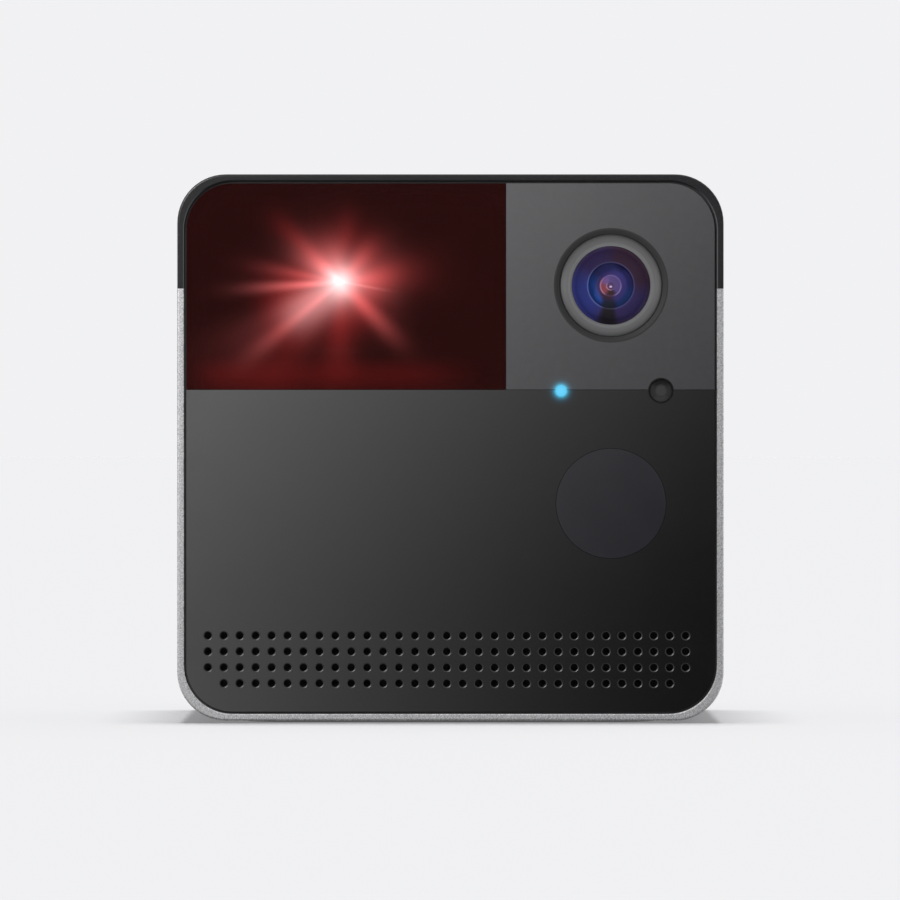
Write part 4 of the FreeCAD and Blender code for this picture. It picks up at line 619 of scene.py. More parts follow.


# Painted reflections and shade: what the coatings mirror, and the shade from the rings round the glass,
# painted
# as rings of colour round the lens: middle radius, half width and softness in mm, colour, and lobes of
# another
# colour: the way each points, in degrees from the right, and how far off that way it starts and is full
REAR_PAINTED_REFLECTIONS = [
    (0.0, 7.0, 0.1, "#31232f", [(125, 50, 10, "#2c2440"), (203, 66, 8, "#2a3064"), (312, 60, 0, "#2c2646"),
                                (264, 20, 5, "#1e1c1e")]),
    (5.9, 0.3, 0.4, "#4a3844", [(125, 50, 10, "#4a405a"), (203, 66, 8, "#4e528c"), (312, 60, 0, "#544662"),
                                (264, 20, 5, "#3d393d")]),
    (3.5, 0.1, 0.06, "#373551", [(197, 72, 12, "#444e7c"), (312, 60, 0, "#38365a"), (264, 20, 5, "#2e2d35")]),
]
INNER_PAINTED_REFLECTIONS = [
    (0.0, 3.6, 0.1, "#201f44", [(112, 58, 20, "#31335f"), (195, 60, 10, "#27478c"), (318, 50, 5, "#1c2b52"),
                                (265, 28, 6, "#1e2129")]),
    (0.0, 2.45, 0.25, "#292855", [(185, 60, 10, "#313a6c"), (262, 35, 5, "#22202f")]),
    (0.0, 2.05, 0.2, "#2d274f", [(185, 60, 10, "#33284c"), (248, 48, 8, "#2d1f27")]),
    (1.52, 0.12, 0.08, "#4c4268", [(190, 70, 15, "#7c525c"), (265, 40, 10, "#3c2838"),
                                   (330, 50, 5, "#5c5078")]),
    (0.0, 1.42, 0.1, "#3e3458", [(140, 50, 10, "#4e3a60"), (208, 60, 15, "#5f2f34"),
                                 (272, 45, 10, "#2b1e1e")]),
    (0.64, 0.08, 0.07, "#42345a", [(215, 100, 20, "#70505f")]),
    (0.0, 0.5, 0.1, "#3a2a44", []),
]

# The glass in millimetres. Depths are from the panels' face backwards.
FRONT_EDGE, FRONT_BACK = 1.0, 1.58
HOLLOW_RADIUS, HOLLOW_TOP = 3.4, 0.95
SECOND_TOP, SECOND_EDGE, SECOND_BACK, SECOND_MIDDLE = 3.2, 3.7, 5.7, 6.0
THIRD_RADIUS = 2.38
THIRD_TOP, THIRD_EDGE, THIRD_BACK, THIRD_MIDDLE = 9.0, 9.6, 12.1, 12.6


def coating(tree, place, rings, lift):
    """A coated glass's painted reflections and shade: rings of colour about the lens axis, brought up to the
    light there.
    """
    flat = off_axis(tree, place, LENS_CENTRE)
    radius = add(tree, "ShaderNodeVectorMath", [flat], operation="LENGTH")
    way = add(tree, "ShaderNodeVectorMath", [flat], operation="NORMALIZE")
    total = (0.0, 0.0, 0.0, 1.0)
    for centre, half, soft, code, lobes in rings:
        colour = linear(code)
        for angle, start, full, lobe_code in lobes:
            turn = math.radians(angle)
            near = add(tree, "ShaderNodeVectorMath", [way, (math.cos(turn), 0, math.sin(turn))],
                       operation="DOT_PRODUCT")
            lobe = add(tree, "ShaderNodeMapRange", [near, math.cos(math.radians(start)),
                                                    math.cos(math.radians(full))],
                       interpolation_type="SMOOTHSTEP")
            colour = add(tree, "ShaderNodeMix", {"Factor": lobe, "A": colour, "B": linear(lobe_code)},
                         data_type="RGBA")
        off = add(tree, "ShaderNodeMath", [radius, centre], operation="SUBTRACT")
        away = add(tree, "ShaderNodeMath", [off], operation="ABSOLUTE")
        inside = add(tree, "ShaderNodeMapRange", [away, half + soft, half - soft],
                     interpolation_type="SMOOTHSTEP")
        total = add(tree, "ShaderNodeMix", {"Factor": inside, "A": total, "B": colour}, data_type="RGBA")
    return add(tree, "ShaderNodeVectorMath", {0: total, "Scale": lift}, operation="SCALE")


def blackened_glass_rim_painted_reflections():
    """The blackened rear rim of the front glass, with the blue and purple that its coated face mirrors
    painted on it.
    """
    made, tree, place, shader = new_finish("blackened_glass_rim_painted_reflections", Roughness=0.3, Specular_IOR_Level=0.0)
    tree.links.new(coating(tree, place, REAR_PAINTED_REFLECTIONS, 3.05), shader.inputs["Base Color"])
    return made


def inner_glass_with_painted_reflections():
    """Multi-coated glass in the lens, with painted reflections: rings of deep blue and violet, a warm
    crescent, and a painted catch light that glows.
    """
    made, tree, place, shader = new_finish("inner_glass_painted_reflections", Roughness=0.15, Specular_IOR_Level=0.1,
                                           Emission_Strength=1.0)
    tree.links.new(coating(tree, place, INNER_PAINTED_REFLECTIONS, 2.2), shader.inputs["Base Color"])
    # Painted catch light: a small spot, a little below the middle, that gives off light
    far = axis_distance(tree, place, LENS_CENTRE - Vector((0, 0, 0.15 * MM)), 1.3)
    painted_catch_light = add(tree, "ShaderNodeMapRange", [far, 0.3, 0.06], interpolation_type="SMOOTHSTEP")
    lit(tree, shader, (0.6, 0.45, 0.57), painted_catch_light)
    return made


def coated_optical_glass():
    """Polished optical glass with an anti-reflection coating: all but clear, with a faint violet mirror."""
    made, tree, place, shader = new_finish("coated_optical_glass")
    tree.nodes.remove(shader)
    haze = add(tree, "ShaderNodeTexNoise", {"Vector": place, "Scale": per_metre(3), "Detail": 2.0})
    matt = add(tree, "ShaderNodeMapRange", [haze, 0.0, 1.0, 0.02, 0.06])
    mirror = add(tree, "ShaderNodeBsdfGlossy", {"Color": linear("#bfb4ff"), "Roughness": matt})
    clear = add(tree, "ShaderNodeBsdfTransparent", {"Color": (0.97, 0.97, 0.98, 1.0)})
    # A bare glass face mirrors 4 % of the light that meets it, and a coated one under 1 %
    share = add(tree, "ShaderNodeFresnel", {"IOR": 1.17})
    seen = add(tree, "ShaderNodeMixShader", [share, clear, mirror])
    tree.links.new(seen, tree.nodes["Material Output"].inputs["Surface"])
    return made


def turned_mesh(name, profiles, segments):
    """Closed rings turned round the lens axis. A profile's points are (radius, depth, material number)."""
    shape = bmesh.new()
    for profile in profiles:
        rings = []
        for radius, depth, _ in profile:
            y = PANEL_FACE + depth * MM
            if radius == 0:
                rings.append([shape.verts.new((LENS_CENTRE.x, y, LENS_CENTRE.z))])
                continue
            turns = [2 * math.pi * i / segments for i in range(segments)]
            rings.append([shape.verts.new((LENS_CENTRE.x + radius * MM * math.cos(turn), y,
                                           LENS_CENTRE.z + radius * MM * math.sin(turn))) for turn in turns])
        for (first, second), (_, _, material) in zip(zip(rings, rings[1:]), profile):
            for i in range(segments):
                corners = [ring[j % len(ring)] for ring, j in ((first, i), (first, i + 1), (second, i + 1),
                                                              (second, i))]
                face = shape.faces.new(list(dict.fromkeys(corners)))
                face.material_index = material
                face.smooth = True
    return placed(name, closed_mesh(name, shape))


def curved(start, end, bulge, steps):
    """Points of a parabola between two (radius, depth) ends, without the first, bulging by a depth."""
    points = []
    for i in range(1, steps):
        t = i / steps
        points.append((start[0] + (end[0] - start[0]) * t,
                       start[1] + (end[1] - start[1]) * t + bulge * 4 * t * (1 - t), 0))
    return [*points, (*end, 0)]


def domed(radius, front, edge, steps):
    """Points of a spherical cap from its middle out, without the one at its edge."""
    rise = edge - front
    bend = (radius * radius + rise * rise) / (2 * rise)
    return [(radius * i / steps, front + bend - math.sqrt(bend * bend - (radius * i / steps) ** 2), 0)
            for i in range(steps)]


class PET_OT_lens(bpy.types.Operator):
    """Make the coated glass and finish the rings round it"""
    bl_idname = "pet_camera.lens"
    bl_label = "Lens"

    def execute(self, context):
        chosen = context.scene.pet_lens
        # Turned aluminium under satin grey paint, with painted shading: brighter at its inner edge and darker
        # outwards
        dressed(turned_metal("satin_painted_turned_aluminium", chosen.bezel, LENS_CENTRE, "Y", 0.25, 0.42,
                             metallic=0.0, specular=0.4, ease=(6.1, 6.35, 9.0, 0.0),
                             painted_shading=((6.05, 6.6, 1.75, 1.1), (6.5, 7.6, 1.0, 0.6))), "lens_bezel")
        # The same under black paint: dull, with a soft edge towards the ring
        dressed(turned_metal("satin_black_turned_aluminium", linear("#2c2c2d"), LENS_CENTRE, "Y", 0.25, 0.45,
                             metallic=0.0, specular=0.25, ease=(7.6, 7.7, 0.0, 2.0)), "lens_surround")
        # Black anodised inside the lens, where nothing may shine
        dressed(turned_metal("black_anodised_turned_aluminium", linear("#222222"), LENS_CENTRE, "Y", 0.25,
                             0.45, metallic=0.0, specular=0.25), "lens_barrel", "filter_frame")
        edge, wide = chosen.glass_radius / MM, chosen.inner_radius / MM
        front = turned_mesh("front_glass", [
            domed(edge, FRONT_EDGE - chosen.dome_height / MM, FRONT_EDGE, 20)
            + [(edge, FRONT_EDGE, 1), (edge - 0.03, FRONT_BACK, 1), (4.7, FRONT_BACK, 1),
               (HOLLOW_RADIUS, FRONT_BACK, 0)]
            + curved((HOLLOW_RADIUS - 0.03, FRONT_BACK - 0.08), (0, HOLLOW_TOP), -0.12, 10),
        ], 128)
        front.data.materials.append(coated_optical_glass())
        front.data.materials.append(blackened_glass_rim_painted_reflections())
        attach(front, "housing")
        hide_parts("lens_front_element")
        inner = turned_mesh("inner_glass", [
            domed(wide, SECOND_TOP, SECOND_EDGE, 14) + [(wide, SECOND_EDGE, 0), (wide, SECOND_BACK, 0)]
            + curved((wide, SECOND_BACK), (0, SECOND_MIDDLE), 0.1, 8),
            domed(THIRD_RADIUS, THIRD_TOP, THIRD_EDGE, 10)
            + [(THIRD_RADIUS, THIRD_EDGE, 0), (THIRD_RADIUS, THIRD_BACK, 0)]
            + curved((THIRD_RADIUS, THIRD_BACK), (0, THIRD_MIDDLE), 0.1, 8),
        ], 96)
        inner.data.materials.append(inner_glass_with_painted_reflections())
        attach(inner, "housing")
        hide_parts("lens_inner_elements")
        return {"FINISHED"}


# Underside and plug

class FootSettings(bpy.types.PropertyGroup):
    rubber: bpy.props.FloatVectorProperty(
        name="Rubber", description="Colour of the foot pad", subtype="COLOR", size=4,
        min=0, max=1, default=linear("#1b1b1d"))
    pitch: bpy.props.FloatProperty(
        name="Pip pitch", description="Spacing of the pad's pips", unit="LENGTH",
        min=0.002, max=0.01, default=0.003)
    pip_radius: bpy.props.FloatProperty(
        name="Pip radius", description="Radius of a pip at its tip", unit="LENGTH",
        min=0.0003, max=0.0015, default=0.0007)
    rim: bpy.props.FloatProperty(
        name="Rim", description="Width of the flat rims of the pad", unit="LENGTH",
        min=0.0005, max=0.005, default=0.0016)
    recess: bpy.props.FloatProperty(
        name="Recess", description="Depth between the pips", unit="LENGTH",
        min=0.0001, max=0.0008, default=0.0004)


def moulded_rubber(name, colour, roughness, grain):
    """Moulded silicone rubber: a soft dull black that shows dust and the mould's fine texture."""
    made, tree, place, shader = new_finish(name, IOR=1.42, Sheen_Weight=0.08, Sheen_Roughness=0.6)
    texture = add(tree, "ShaderNodeTexNoise", {"Vector": place, "Scale": per_metre(grain), "Detail": 4.0})
    dust = add(tree, "ShaderNodeTexNoise", {"Vector": place, "Scale": per_metre(11), "Detail": 6.0})
    mixed = add(tree, "ShaderNodeMix", {"Factor": 0.6, "A": texture, "B": dust})
    toned(tree, shader, colour, mixed, 0.2)
    matted(tree, shader, dust, roughness - 0.08, roughness + 0.08)
    raised(tree, shader, texture, 0.02, 0.4)
    return made


def grown(name, tree, values, start=None):
    """Runs a Geometry Nodes tree with its named inputs, and returns the plain mesh object that it makes."""
    carrier = placed(name + "_maker", start or bpy.data.meshes.new(name + "_start"))
    modifier = carrier.modifiers.new("maker", "NODES")
    modifier.node_group = tree
    for item in tree.interface.items_tree:
        if item.item_type == "SOCKET" and item.in_out == "INPUT" and item.name in values:
            modifier[item.identifier] = values[item.name]
    evaluated = carrier.evaluated_get(bpy.context.evaluated_depsgraph_get())
    mesh = bpy.data.meshes.new_from_object(evaluated)
    if not mesh.polygons:
        raise RuntimeError(name + " came out empty")
    mesh.name = name
    carrier.modifiers.remove(modifier)
    bpy.data.objects.remove(carrier)
    return placed(name, mesh)


def new_maker(name, inputs):
    """A Geometry Nodes tree with a geometry in and out and the named inputs, and its input sockets."""
    tree = bpy.data.node_groups.new(name, "GeometryNodeTree")
    tree.interface.new_socket("Geometry", in_out="INPUT", socket_type="NodeSocketGeometry")
    for label, kind in inputs:
        tree.interface.new_socket(label, in_out="INPUT", socket_type="NodeSocket" + kind)
    tree.interface.new_socket("Geometry", in_out="OUTPUT", socket_type="NodeSocketGeometry")
    return tree, add(tree, "NodeGroupInput").node.outputs


def joined(tree, first, second):
    """Two geometries as one."""
    both = add(tree, "GeometryNodeJoinGeometry", [first])
    tree.links.new(second, both.node.inputs[0])
    return both


def pip_maker():
    """Covers a pad's recess with a square grid of tapered pips, clear of its rim and of its middle hole."""
    tree, given = new_maker("foot_pips", [
        ("Pitch", "Float"), ("Count", "Int"), ("Pip radius", "Float"), ("Height", "Float"), ("Hole", "Float"),
        ("Half width", "Float"), ("Corner", "Float"), ("Rubber", "Material")])
    gaps = add(tree, "ShaderNodeMath", [given["Count"], 1.0], operation="SUBTRACT")
    width = add(tree, "ShaderNodeMath", [gaps, given["Pitch"]], operation="MULTIPLY")
    grid = add(tree, "GeometryNodeMeshGrid", [width, width, given["Count"], given["Count"]])
    place = add(tree, "GeometryNodeInputPosition")
    # A pip stays where it is outside the hole and inside the rounded square
    far = add(tree, "ShaderNodeVectorMath", [place], operation="LENGTH")
    in_hole = add(tree, "ShaderNodeMath", [far, given["Hole"]], operation="LESS_THAN")
    size = add(tree, "ShaderNodeVectorMath", [place], operation="ABSOLUTE")
    core = add(tree, "ShaderNodeMath", [given["Half width"], given["Corner"]], operation="SUBTRACT")
    square = add(tree, "ShaderNodeCombineXYZ", [core, core])
    past = add(tree, "ShaderNodeVectorMath", [size, square], operation="SUBTRACT")
    over = add(tree, "ShaderNodeVectorMath", [past], operation="MAXIMUM")
    corner = add(tree, "ShaderNodeVectorMath", [over], operation="LENGTH")
    outside = add(tree, "ShaderNodeMath", [corner, given["Corner"]], operation="GREATER_THAN")
    either = add(tree, "ShaderNodeMath", [in_hole, outside], operation="MAXIMUM")
    kept = add(tree, "GeometryNodeDeleteGeometry", [grid, either], domain="POINT")
    root = add(tree, "ShaderNodeMath", [given["Pip radius"], 1.3], operation="MULTIPLY")
    pip = add(tree, "GeometryNodeMeshCone", {"Vertices": 12, "Radius Bottom": given["Pip radius"],
                                             "Radius Top": root, "Depth": given["Height"]})
    spread = add(tree, "GeometryNodeInstanceOnPoints", {"Points": kept, "Instance": pip})
    real = add(tree, "GeometryNodeRealizeInstances", [spread])
    pad = joined(tree, given["Geometry"], real)
    rubber = add(tree, "GeometryNodeSetMaterial", {"Geometry": pad, "Material": given["Rubber"]})
    add(tree, "NodeGroupOutput", [rubber])
    return tree


def contact_maker():
    """Lays a row of flat contacts side by side, and the same row again on the other face."""
    tree, given = new_maker("plug_contacts", [
        ("Count", "Int"), ("Pitch", "Float"), ("Size", "Vector"), ("Start", "Vector"),
        ("Other face", "Vector"), ("Metal", "Material")])
    step = add(tree, "ShaderNodeCombineXYZ", [given["Pitch"]])
    row = add(tree, "GeometryNodeMeshLine", {"Count": given["Count"], "Start Location": given["Start"],
                                             "Offset": step})
    strip = add(tree, "GeometryNodeMeshCube", [given["Size"]])
    first = add(tree, "GeometryNodeInstanceOnPoints", {"Points": row, "Instance": strip})
    second = add(tree, "GeometryNodeTransform", {"Geometry": first, "Translation": given["Other face"]})
    real = add(tree, "GeometryNodeRealizeInstances", [joined(tree, first, second)])
    gold = add(tree, "GeometryNodeSetMaterial", {"Geometry": real, "Material": given["Metal"]})
    add(tree, "NodeGroupOutput", [gold])
    return tree


def pad_mesh(half, corner, hole, rim, recess, thickness):
    """The foot pad without its pips: a rounded square with a hole, recessed below between two rims."""
    steps = 12

    def outline(inset, z):
        points = []
        radius = corner - inset
        for turn, (across, up) in enumerate([(1, 1), (-1, 1), (-1, -1), (1, -1)]):
            for step in range(steps + 1):
                angle = math.radians(90 * (turn + step / steps))
                points.append((across * (half - corner) + radius * math.cos(angle),
                               up * (half - corner) + radius * math.sin(angle), z))
            # The straight side to the next corner, in steps as fine as the hole needs
            x, y, _ = points[-1]
            side = 2 * (half - corner)
            points += [(x - side * math.sin(angle) * k / steps, y + side * math.cos(angle) * k / steps, z)
                       for k in range(1, steps)]
        return points

    def circle(radius, z):
        angles = [math.atan2(y, x) for x, y, _ in outline(0, 0)]
        return [(radius * math.cos(angle), radius * math.sin(angle), z) for angle in angles]

    break_edge = 0.15 * MM
    loops = [outline(0, thickness), outline(0, break_edge), outline(break_edge, 0), outline(rim, 0),
             outline(rim + break_edge, recess), circle(hole + rim + break_edge, recess),
             circle(hole + rim, 0), circle(hole, 0), circle(hole, thickness)]
    shape = bmesh.new()
    rings = [[shape.verts.new(point) for point in loop] for loop in loops]
    for first, second in zip(rings, rings[1:] + rings[:1]):
        for i in range(len(first)):
            j = (i + 1) % len(first)
            shape.faces.new((first[i], first[j], second[j], second[i]))
    return closed_mesh("foot_pad_base", shape)


class PET_OT_foot(bpy.types.Operator):
    """Make the foot pad with its pips and finish the tripod thread"""
    bl_idname = "pet_camera.foot"
    bl_label = "Foot pad"

    def execute(self, context):
        chosen = context.scene.pet_foot
        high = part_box("foot_pad")[1]
        # The pad's hole is 0.9 mm smaller in radius than the widest part of the insert
        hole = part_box("tripod_insert")[1].x - 0.9 * MM
        rubber = moulded_rubber("moulded_silicone_rubber", chosen.rubber, 0.72, 0.4)
        pad_corner, pip_corner = 6 * MM, 4 * MM
        rim_gap, pip_root = 0.4 * MM, 0.05 * MM
        base = pad_mesh(high.x, pad_corner, hole, chosen.rim, chosen.recess, high.z)
        inside = high.x - chosen.rim - rim_gap
        pad = grown("pipped_foot_pad", pip_maker(), {
            "Pitch": chosen.pitch, "Count": int(2 * inside / chosen.pitch) + 1,
            "Pip radius": chosen.pip_radius, "Height": chosen.recess + pip_root,
            "Hole": hole + chosen.rim + chosen.pip_radius * 1.6,
            "Half width": inside - chosen.pip_radius, "Corner": pip_corner, "Rubber": rubber}, base)
        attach(pad, "housing")
        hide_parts("foot_pad")
        # Turned brass, nickel free: warm yellow with the lathe's rings on its face
        dressed(turned_metal("turned_brass_insert", linear("#c7a564"), middle("tripod_insert"), "Z", 0.4,
                             0.32), "tripod_insert")
        return {"FINISHED"}


class PET_OT_plug(bpy.types.Operator):
    """Lay the contacts in the power inlet and finish the inlet, the reset button and the screws"""
    bl_idname = "pet_camera.plug"
    bl_label = "Power inlet and back"

    def execute(self, context):
        low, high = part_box("usb_socket")
        middle_y, middle_z = (low.y + high.y) / 2, (low.z + high.z) / 2
        # Gold plated bronze: warm and bright, with streaks along each contact
        gold = drawn_metal("gold_plated_bronze", linear("#d8b25e"), 0.25, (1, 6, 1), 0.3)
        contacts = grown("inlet_contacts", contact_maker(), {
            "Count": 5, "Pitch": 0.65 * MM, "Size": (0.38 * MM, 3.2 * MM, 0.06 * MM),
            "Start": (-1.3 * MM, high.y - 2.3 * MM, middle_z - 0.12 * MM), "Other face": (0, 0, 0.64 * MM),
            "Metal": gold})
        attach(contacts, "housing")
        # Stamped stainless shell: cold grey with the rolling streaks along it, round a black moulded tongue
        shell = drawn_metal("stamped_stainless_steel", linear("#c2c3c4"), 0.3, (1, 8, 1), 0.3)
        partly(shell, (0, middle_y, middle_z), (2.75 * MM, high.y - low.y, 0.45 * MM), linear("#161617"), 0.0)
        dressed(shell, "usb_socket")
        # PBT, moulded: a shade lighter than the back round it
        dressed(moulded_plastic("moulded_pbt", linear("#2c2c2e"), 0.5, 0.3, 0.01),
                "reset_button", "reset_switch")
        # Black zinc plated steel screws: a dark bluish shine, uneven from the bath, with painted shade
        # darkening the cross
        heads = drawn_metal("black_zinc_plated_steel", linear("#6c6d71"), 0.32, (1, 1, 1), 0.5)
        outer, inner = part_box("case_screws")
        # The box holds all that lies more than 0.06 mm under the heads, at the back and underneath, painted
        # darker as shade
        skin, level = 0.06 * MM, 0.05
        partly(heads, (0, 0, level), (0.1, inner.y - skin, level - outer.z - skin), linear("#1c1c1e"), 1.0)
        dressed(heads, "case_screws")
        # Zinc plated steel screws inside: bluish grey
        dressed(drawn_metal("zinc_plated_steel", linear("#a9abae"), 0.34, (1, 1, 1), 0.5), "inner_screws")
        return {"FINISHED"}


# Inside

def circuit_board(name, mask):
    """Glass-epoxy laminate under green solder mask: lighter lines where copper runs, and tinned dots."""
    made, tree, place, shader = new_finish(name, IOR=1.55)
    across = add(tree, "ShaderNodeTexVoronoi", {"Vector": place, "Scale": per_metre(2.4)}, feature="F1",
                 distance="CHEBYCHEV")
    cell = add(tree, "ShaderNodeMath", [across, 7.0], operation="MULTIPLY")
    lines = add(tree, "ShaderNodeMath", [cell], operation="PINGPONG")
    tracks = add(tree, "ShaderNodeMapRange", [lines, 0.45, 0.6, 0.35, 0.65])
    toned(tree, shader, mask, tracks, 0.3)
    dots = add(tree, "ShaderNodeTexVoronoi", {"Vector": place, "Scale": per_metre(3.1)})
    pads = add(tree, "ShaderNodeMapRange", [dots, 0.12, 0.09])
    painted(tree, shader, pads, linear("#b8b8b0"))
    tree.links.new(pads, shader.inputs["Metallic"])
    matted(tree, shader, tracks, 0.3, 0.24)
    raised(tree, shader, tracks, 0.03, 0.4)
    return made


def closed_cell_foam():
    """Die-cut closed-cell foam: a dull black skin of fine bubbles."""
    made, tree, place, shader = new_finish("closed_cell_foam", IOR=1.45, Sheen_Weight=0.2)
    cells = add(tree, "ShaderNodeTexVoronoi", {"Vector": place, "Scale": per_metre(0.5)})
    toned(tree, shader, linear("#161617"), cells, 0.25)
    matted(tree, shader, cells, 0.95, 0.8)
    raised(tree, shader, cells, 0.1, 0.5)
    return made


def pressed_cone_film():
    """Pressed polymer film with fine fibres in it: a soft dark sheen that follows the cone."""
    made, tree, place, shader = new_finish("pressed_cone_film", IOR=1.5, Sheen_Weight=0.1)
    fibres = add(tree, "ShaderNodeTexNoise", {"Vector": place, "Scale": per_metre(0.7), "Detail": 5.0,
                                              "Distortion": 2.0})
    toned(tree, shader, linear("#242426"), fibres, 0.25)
    matted(tree, shader, fibres, 0.45, 0.65)
    raised(tree, shader, fibres, 0.02, 0.3)
    return made


def polyimide_film():
    """Laminated polyimide film: clear amber over copper lines that run along it."""
    made, tree, place, shader = new_finish("laminated_polyimide_film", IOR=1.6)
    lines = add(tree, "ShaderNodeTexWave", {"Vector": place, "Scale": per_metre(0.8) / 20}, out="Fac",
                bands_direction="X")
    toned(tree, shader, linear("#9a5a1e"), lines, 0.25)
    matted(tree, shader, lines, 0.3, 0.4)
    raised(tree, shader, lines, 0.02, 0.3)
    return made


def cast_resin(name, colour, opacity):
    """Cast epoxy resin: glassy, faintly smoked, with a trace of flow in it."""
    made, tree, place, shader = new_finish(name, IOR=1.54, Alpha=opacity, Roughness=0.06)
    flow = add(tree, "ShaderNodeTexNoise", {"Vector": place, "Scale": per_metre(2.5), "Detail": 3.0})
    toned(tree, shader, colour, flow, 0.15)
    return made


def chip_package(name, colour, roughness):
    """Transfer-moulded epoxy: flat grey-black, sanded fine by its mould."""
    made, tree, place, shader = new_finish(name, IOR=1.55)
    grit = add(tree, "ShaderNodeTexNoise", {"Vector": place, "Scale": per_metre(0.3), "Detail": 2.0})
    toned(tree, shader, colour, grit, 0.1)
    matted(tree, shader, grit, roughness - 0.05, roughness + 0.05)
    raised(tree, shader, grit, 0.008, 0.3)
    return made


class PET_OT_inside(bpy.types.Operator):
    """Finish the boards, the speaker and the other parts inside"""
    bl_idname = "pet_camera.inside"
    bl_label = "Inside parts"

    def execute(self, context):
        dressed(circuit_board("green_glass_epoxy_board", linear("#155238")),
                "sensor_board", "ir_led_board", "indicator_board", "main_board")
        dressed(chip_package("transfer_moulded_epoxy", linear("#202022"), 0.55), "board_chips")
        dressed(chip_package("sawn_silicon", linear("#2a2c38"), 0.15), "image_sensor")
        dressed(cast_resin("cast_smoked_epoxy", linear("#9a90a8"), 0.75), "ir_leds")
        dressed(cast_resin("coated_filter_glass", linear("#6a8fa0"), 0.5), "ir_cut_filter")
        dressed(moulded_rubber("moulded_silicone_boot", linear("#1a1a1b"), 0.7, 0.3),
                "mic_boot", "speaker_surround")
        dressed(closed_cell_foam(), "speaker_gasket")
        dressed(pressed_cone_film(), "speaker_cone")
        # Extruded and clear anodised, tinned and nickel plated: three greys, from cold to warm
        dressed(drawn_metal("extruded_aluminium", linear("#c6c7c9"), 0.38, (1, 1, 8), 0.4), "heat_sink")
        dressed(drawn_metal("tinned_shielding_steel", linear("#bfc0c0"), 0.32, (8, 1, 1), 0.3),
                "wifi_module", "microphone")
        dressed(drawn_metal("nickel_plated_magnet", linear("#b5b3ad"), 0.3, (1, 1, 1), 0.8), "speaker_magnet")
        dressed(polyimide_film(), "wifi_antenna", "ribbon_cables")
        return {"FINISHED"}


# Studio

class StudioSettings(bpy.types.PropertyGroup):
    backdrop: bpy.props.FloatVectorProperty(
        name="Backdrop", description="Colour seen behind and under the camera", subtype="COLOR", size=4,
        min=0, max=1, default=linear("#f1f1f3"))
    floor_light: bpy.props.FloatProperty(
        name="Floor light", description="Light that falls on the floor from above, in W/m²",
        min=0, max=20, default=5.87)
    key: bpy.props.FloatProperty(
        name="Key light", description="Power of the soft box at the front left, in watts", min=0, max=100,
        default=1.8)
    ring: bpy.props.FloatProperty(
        name="Ring light", min=0, max=100, default=0.75,
        description="Power of the left one of the boxes that light the lens ring, in watts")
    distance: bpy.props.FloatProperty(
        name="Distance", description="From the camera that takes the picture to the front", unit="LENGTH",
        min=0.3, max=5, default=1.6)
    height: bpy.props.FloatProperty(
        name="Height", description="Height of the camera that takes the picture", unit="LENGTH",
        min=0.0, max=1, default=0.04102)
    aside: bpy.props.FloatProperty(
        name="Aside", description="How far that camera stands to the side", unit="LENGTH",
        min=-0.1, max=0.1, default=-0.00007)
    focal_length: bpy.props.FloatProperty(
        name="Focal length", description="Long enough to draw the front almost without perspective",
        min=20, max=1000, default=426.5)


def soft_sky(scene, backdrop):
    """Light from all round, dim in front, with the plain backdrop behind."""
    world = bpy.data.worlds.new("soft_white_studio")
    scene.world = world
    world.use_nodes = True
    tree = world.node_tree
    tree.nodes.clear()
    way = add(tree, "ShaderNodeTexCoord", out="Generated")
    parts = add(tree, "ShaderNodeSeparateXYZ", [way]).node.outputs
    level = 1.0
    for axis, start, end, low, high, blend in (
            ("Y", -0.85, -0.45, 0.3, 1.0, "SMOOTHSTEP"),    # dimmer in front
            ("Z", -0.9, -0.35, 0.3, 1.0, "SMOOTHSTEP"),     # dimmer right below, where only shiny faces look
            ("Z", 0.55, 0.85, 1.0, 1.5, "SMOOTHSTEP"),      # brighter overhead
            ("X", -1.0, 1.0, 0.62, 0.93, "LINEAR")):        # a little dimmer on the left, by the key light
        band = add(tree, "ShaderNodeMapRange", [parts[axis], start, end, low, high], interpolation_type=blend)
        level = add(tree, "ShaderNodeMath", [level, band], operation="MULTIPLY")
    lights = add(tree, "ShaderNodeBackground", {"Strength": level})
    seen = add(tree, "ShaderNodeBackground", {"Color": tuple(backdrop)})
    from_camera = add(tree, "ShaderNodeLightPath", out="Is Camera Ray")
    which = add(tree, "ShaderNodeMixShader", [from_camera, lights, seen])
    add(tree, "ShaderNodeOutputWorld", {"Surface": which})


def sheet_object(name, corners, material):
    """A flat four-cornered sheet."""
    mesh = bpy.data.meshes.new(name)
    mesh.from_pydata(corners, [], [tuple(range(len(corners)))])
    mesh.materials.append(material)
    return placed(name, mesh)


def bare_material(name):
    """A material whose tree is empty."""
    made = bpy.data.materials.new(name)
    made.use_nodes = True
    made.node_tree.nodes.clear()
    return made, made.node_tree


def pale_paper(colour):
    """Matt backlit paper: a fifth of its light is its own, so its shadows stay soft.

    From below it isn't there."""
    paper, tree = bare_material("pale_paper")
    matt = add(tree, "ShaderNodeBsdfDiffuse", {"Color": (*(c * 0.3 for c in colour[:3]), 1.0)})
    own = add(tree, "ShaderNodeEmission", {"Color": (*(c * 0.22 for c in colour[:3]), 1.0)})
    both = add(tree, "ShaderNodeAddShader", [matt, own])
    clear = add(tree, "ShaderNodeBsdfTransparent")
    side = add(tree, "ShaderNodeNewGeometry", out="Backfacing")
    seen = add(tree, "ShaderNodeMixShader", [side, both, clear])
    add(tree, "ShaderNodeOutputMaterial", {"Surface": seen})
    return paper


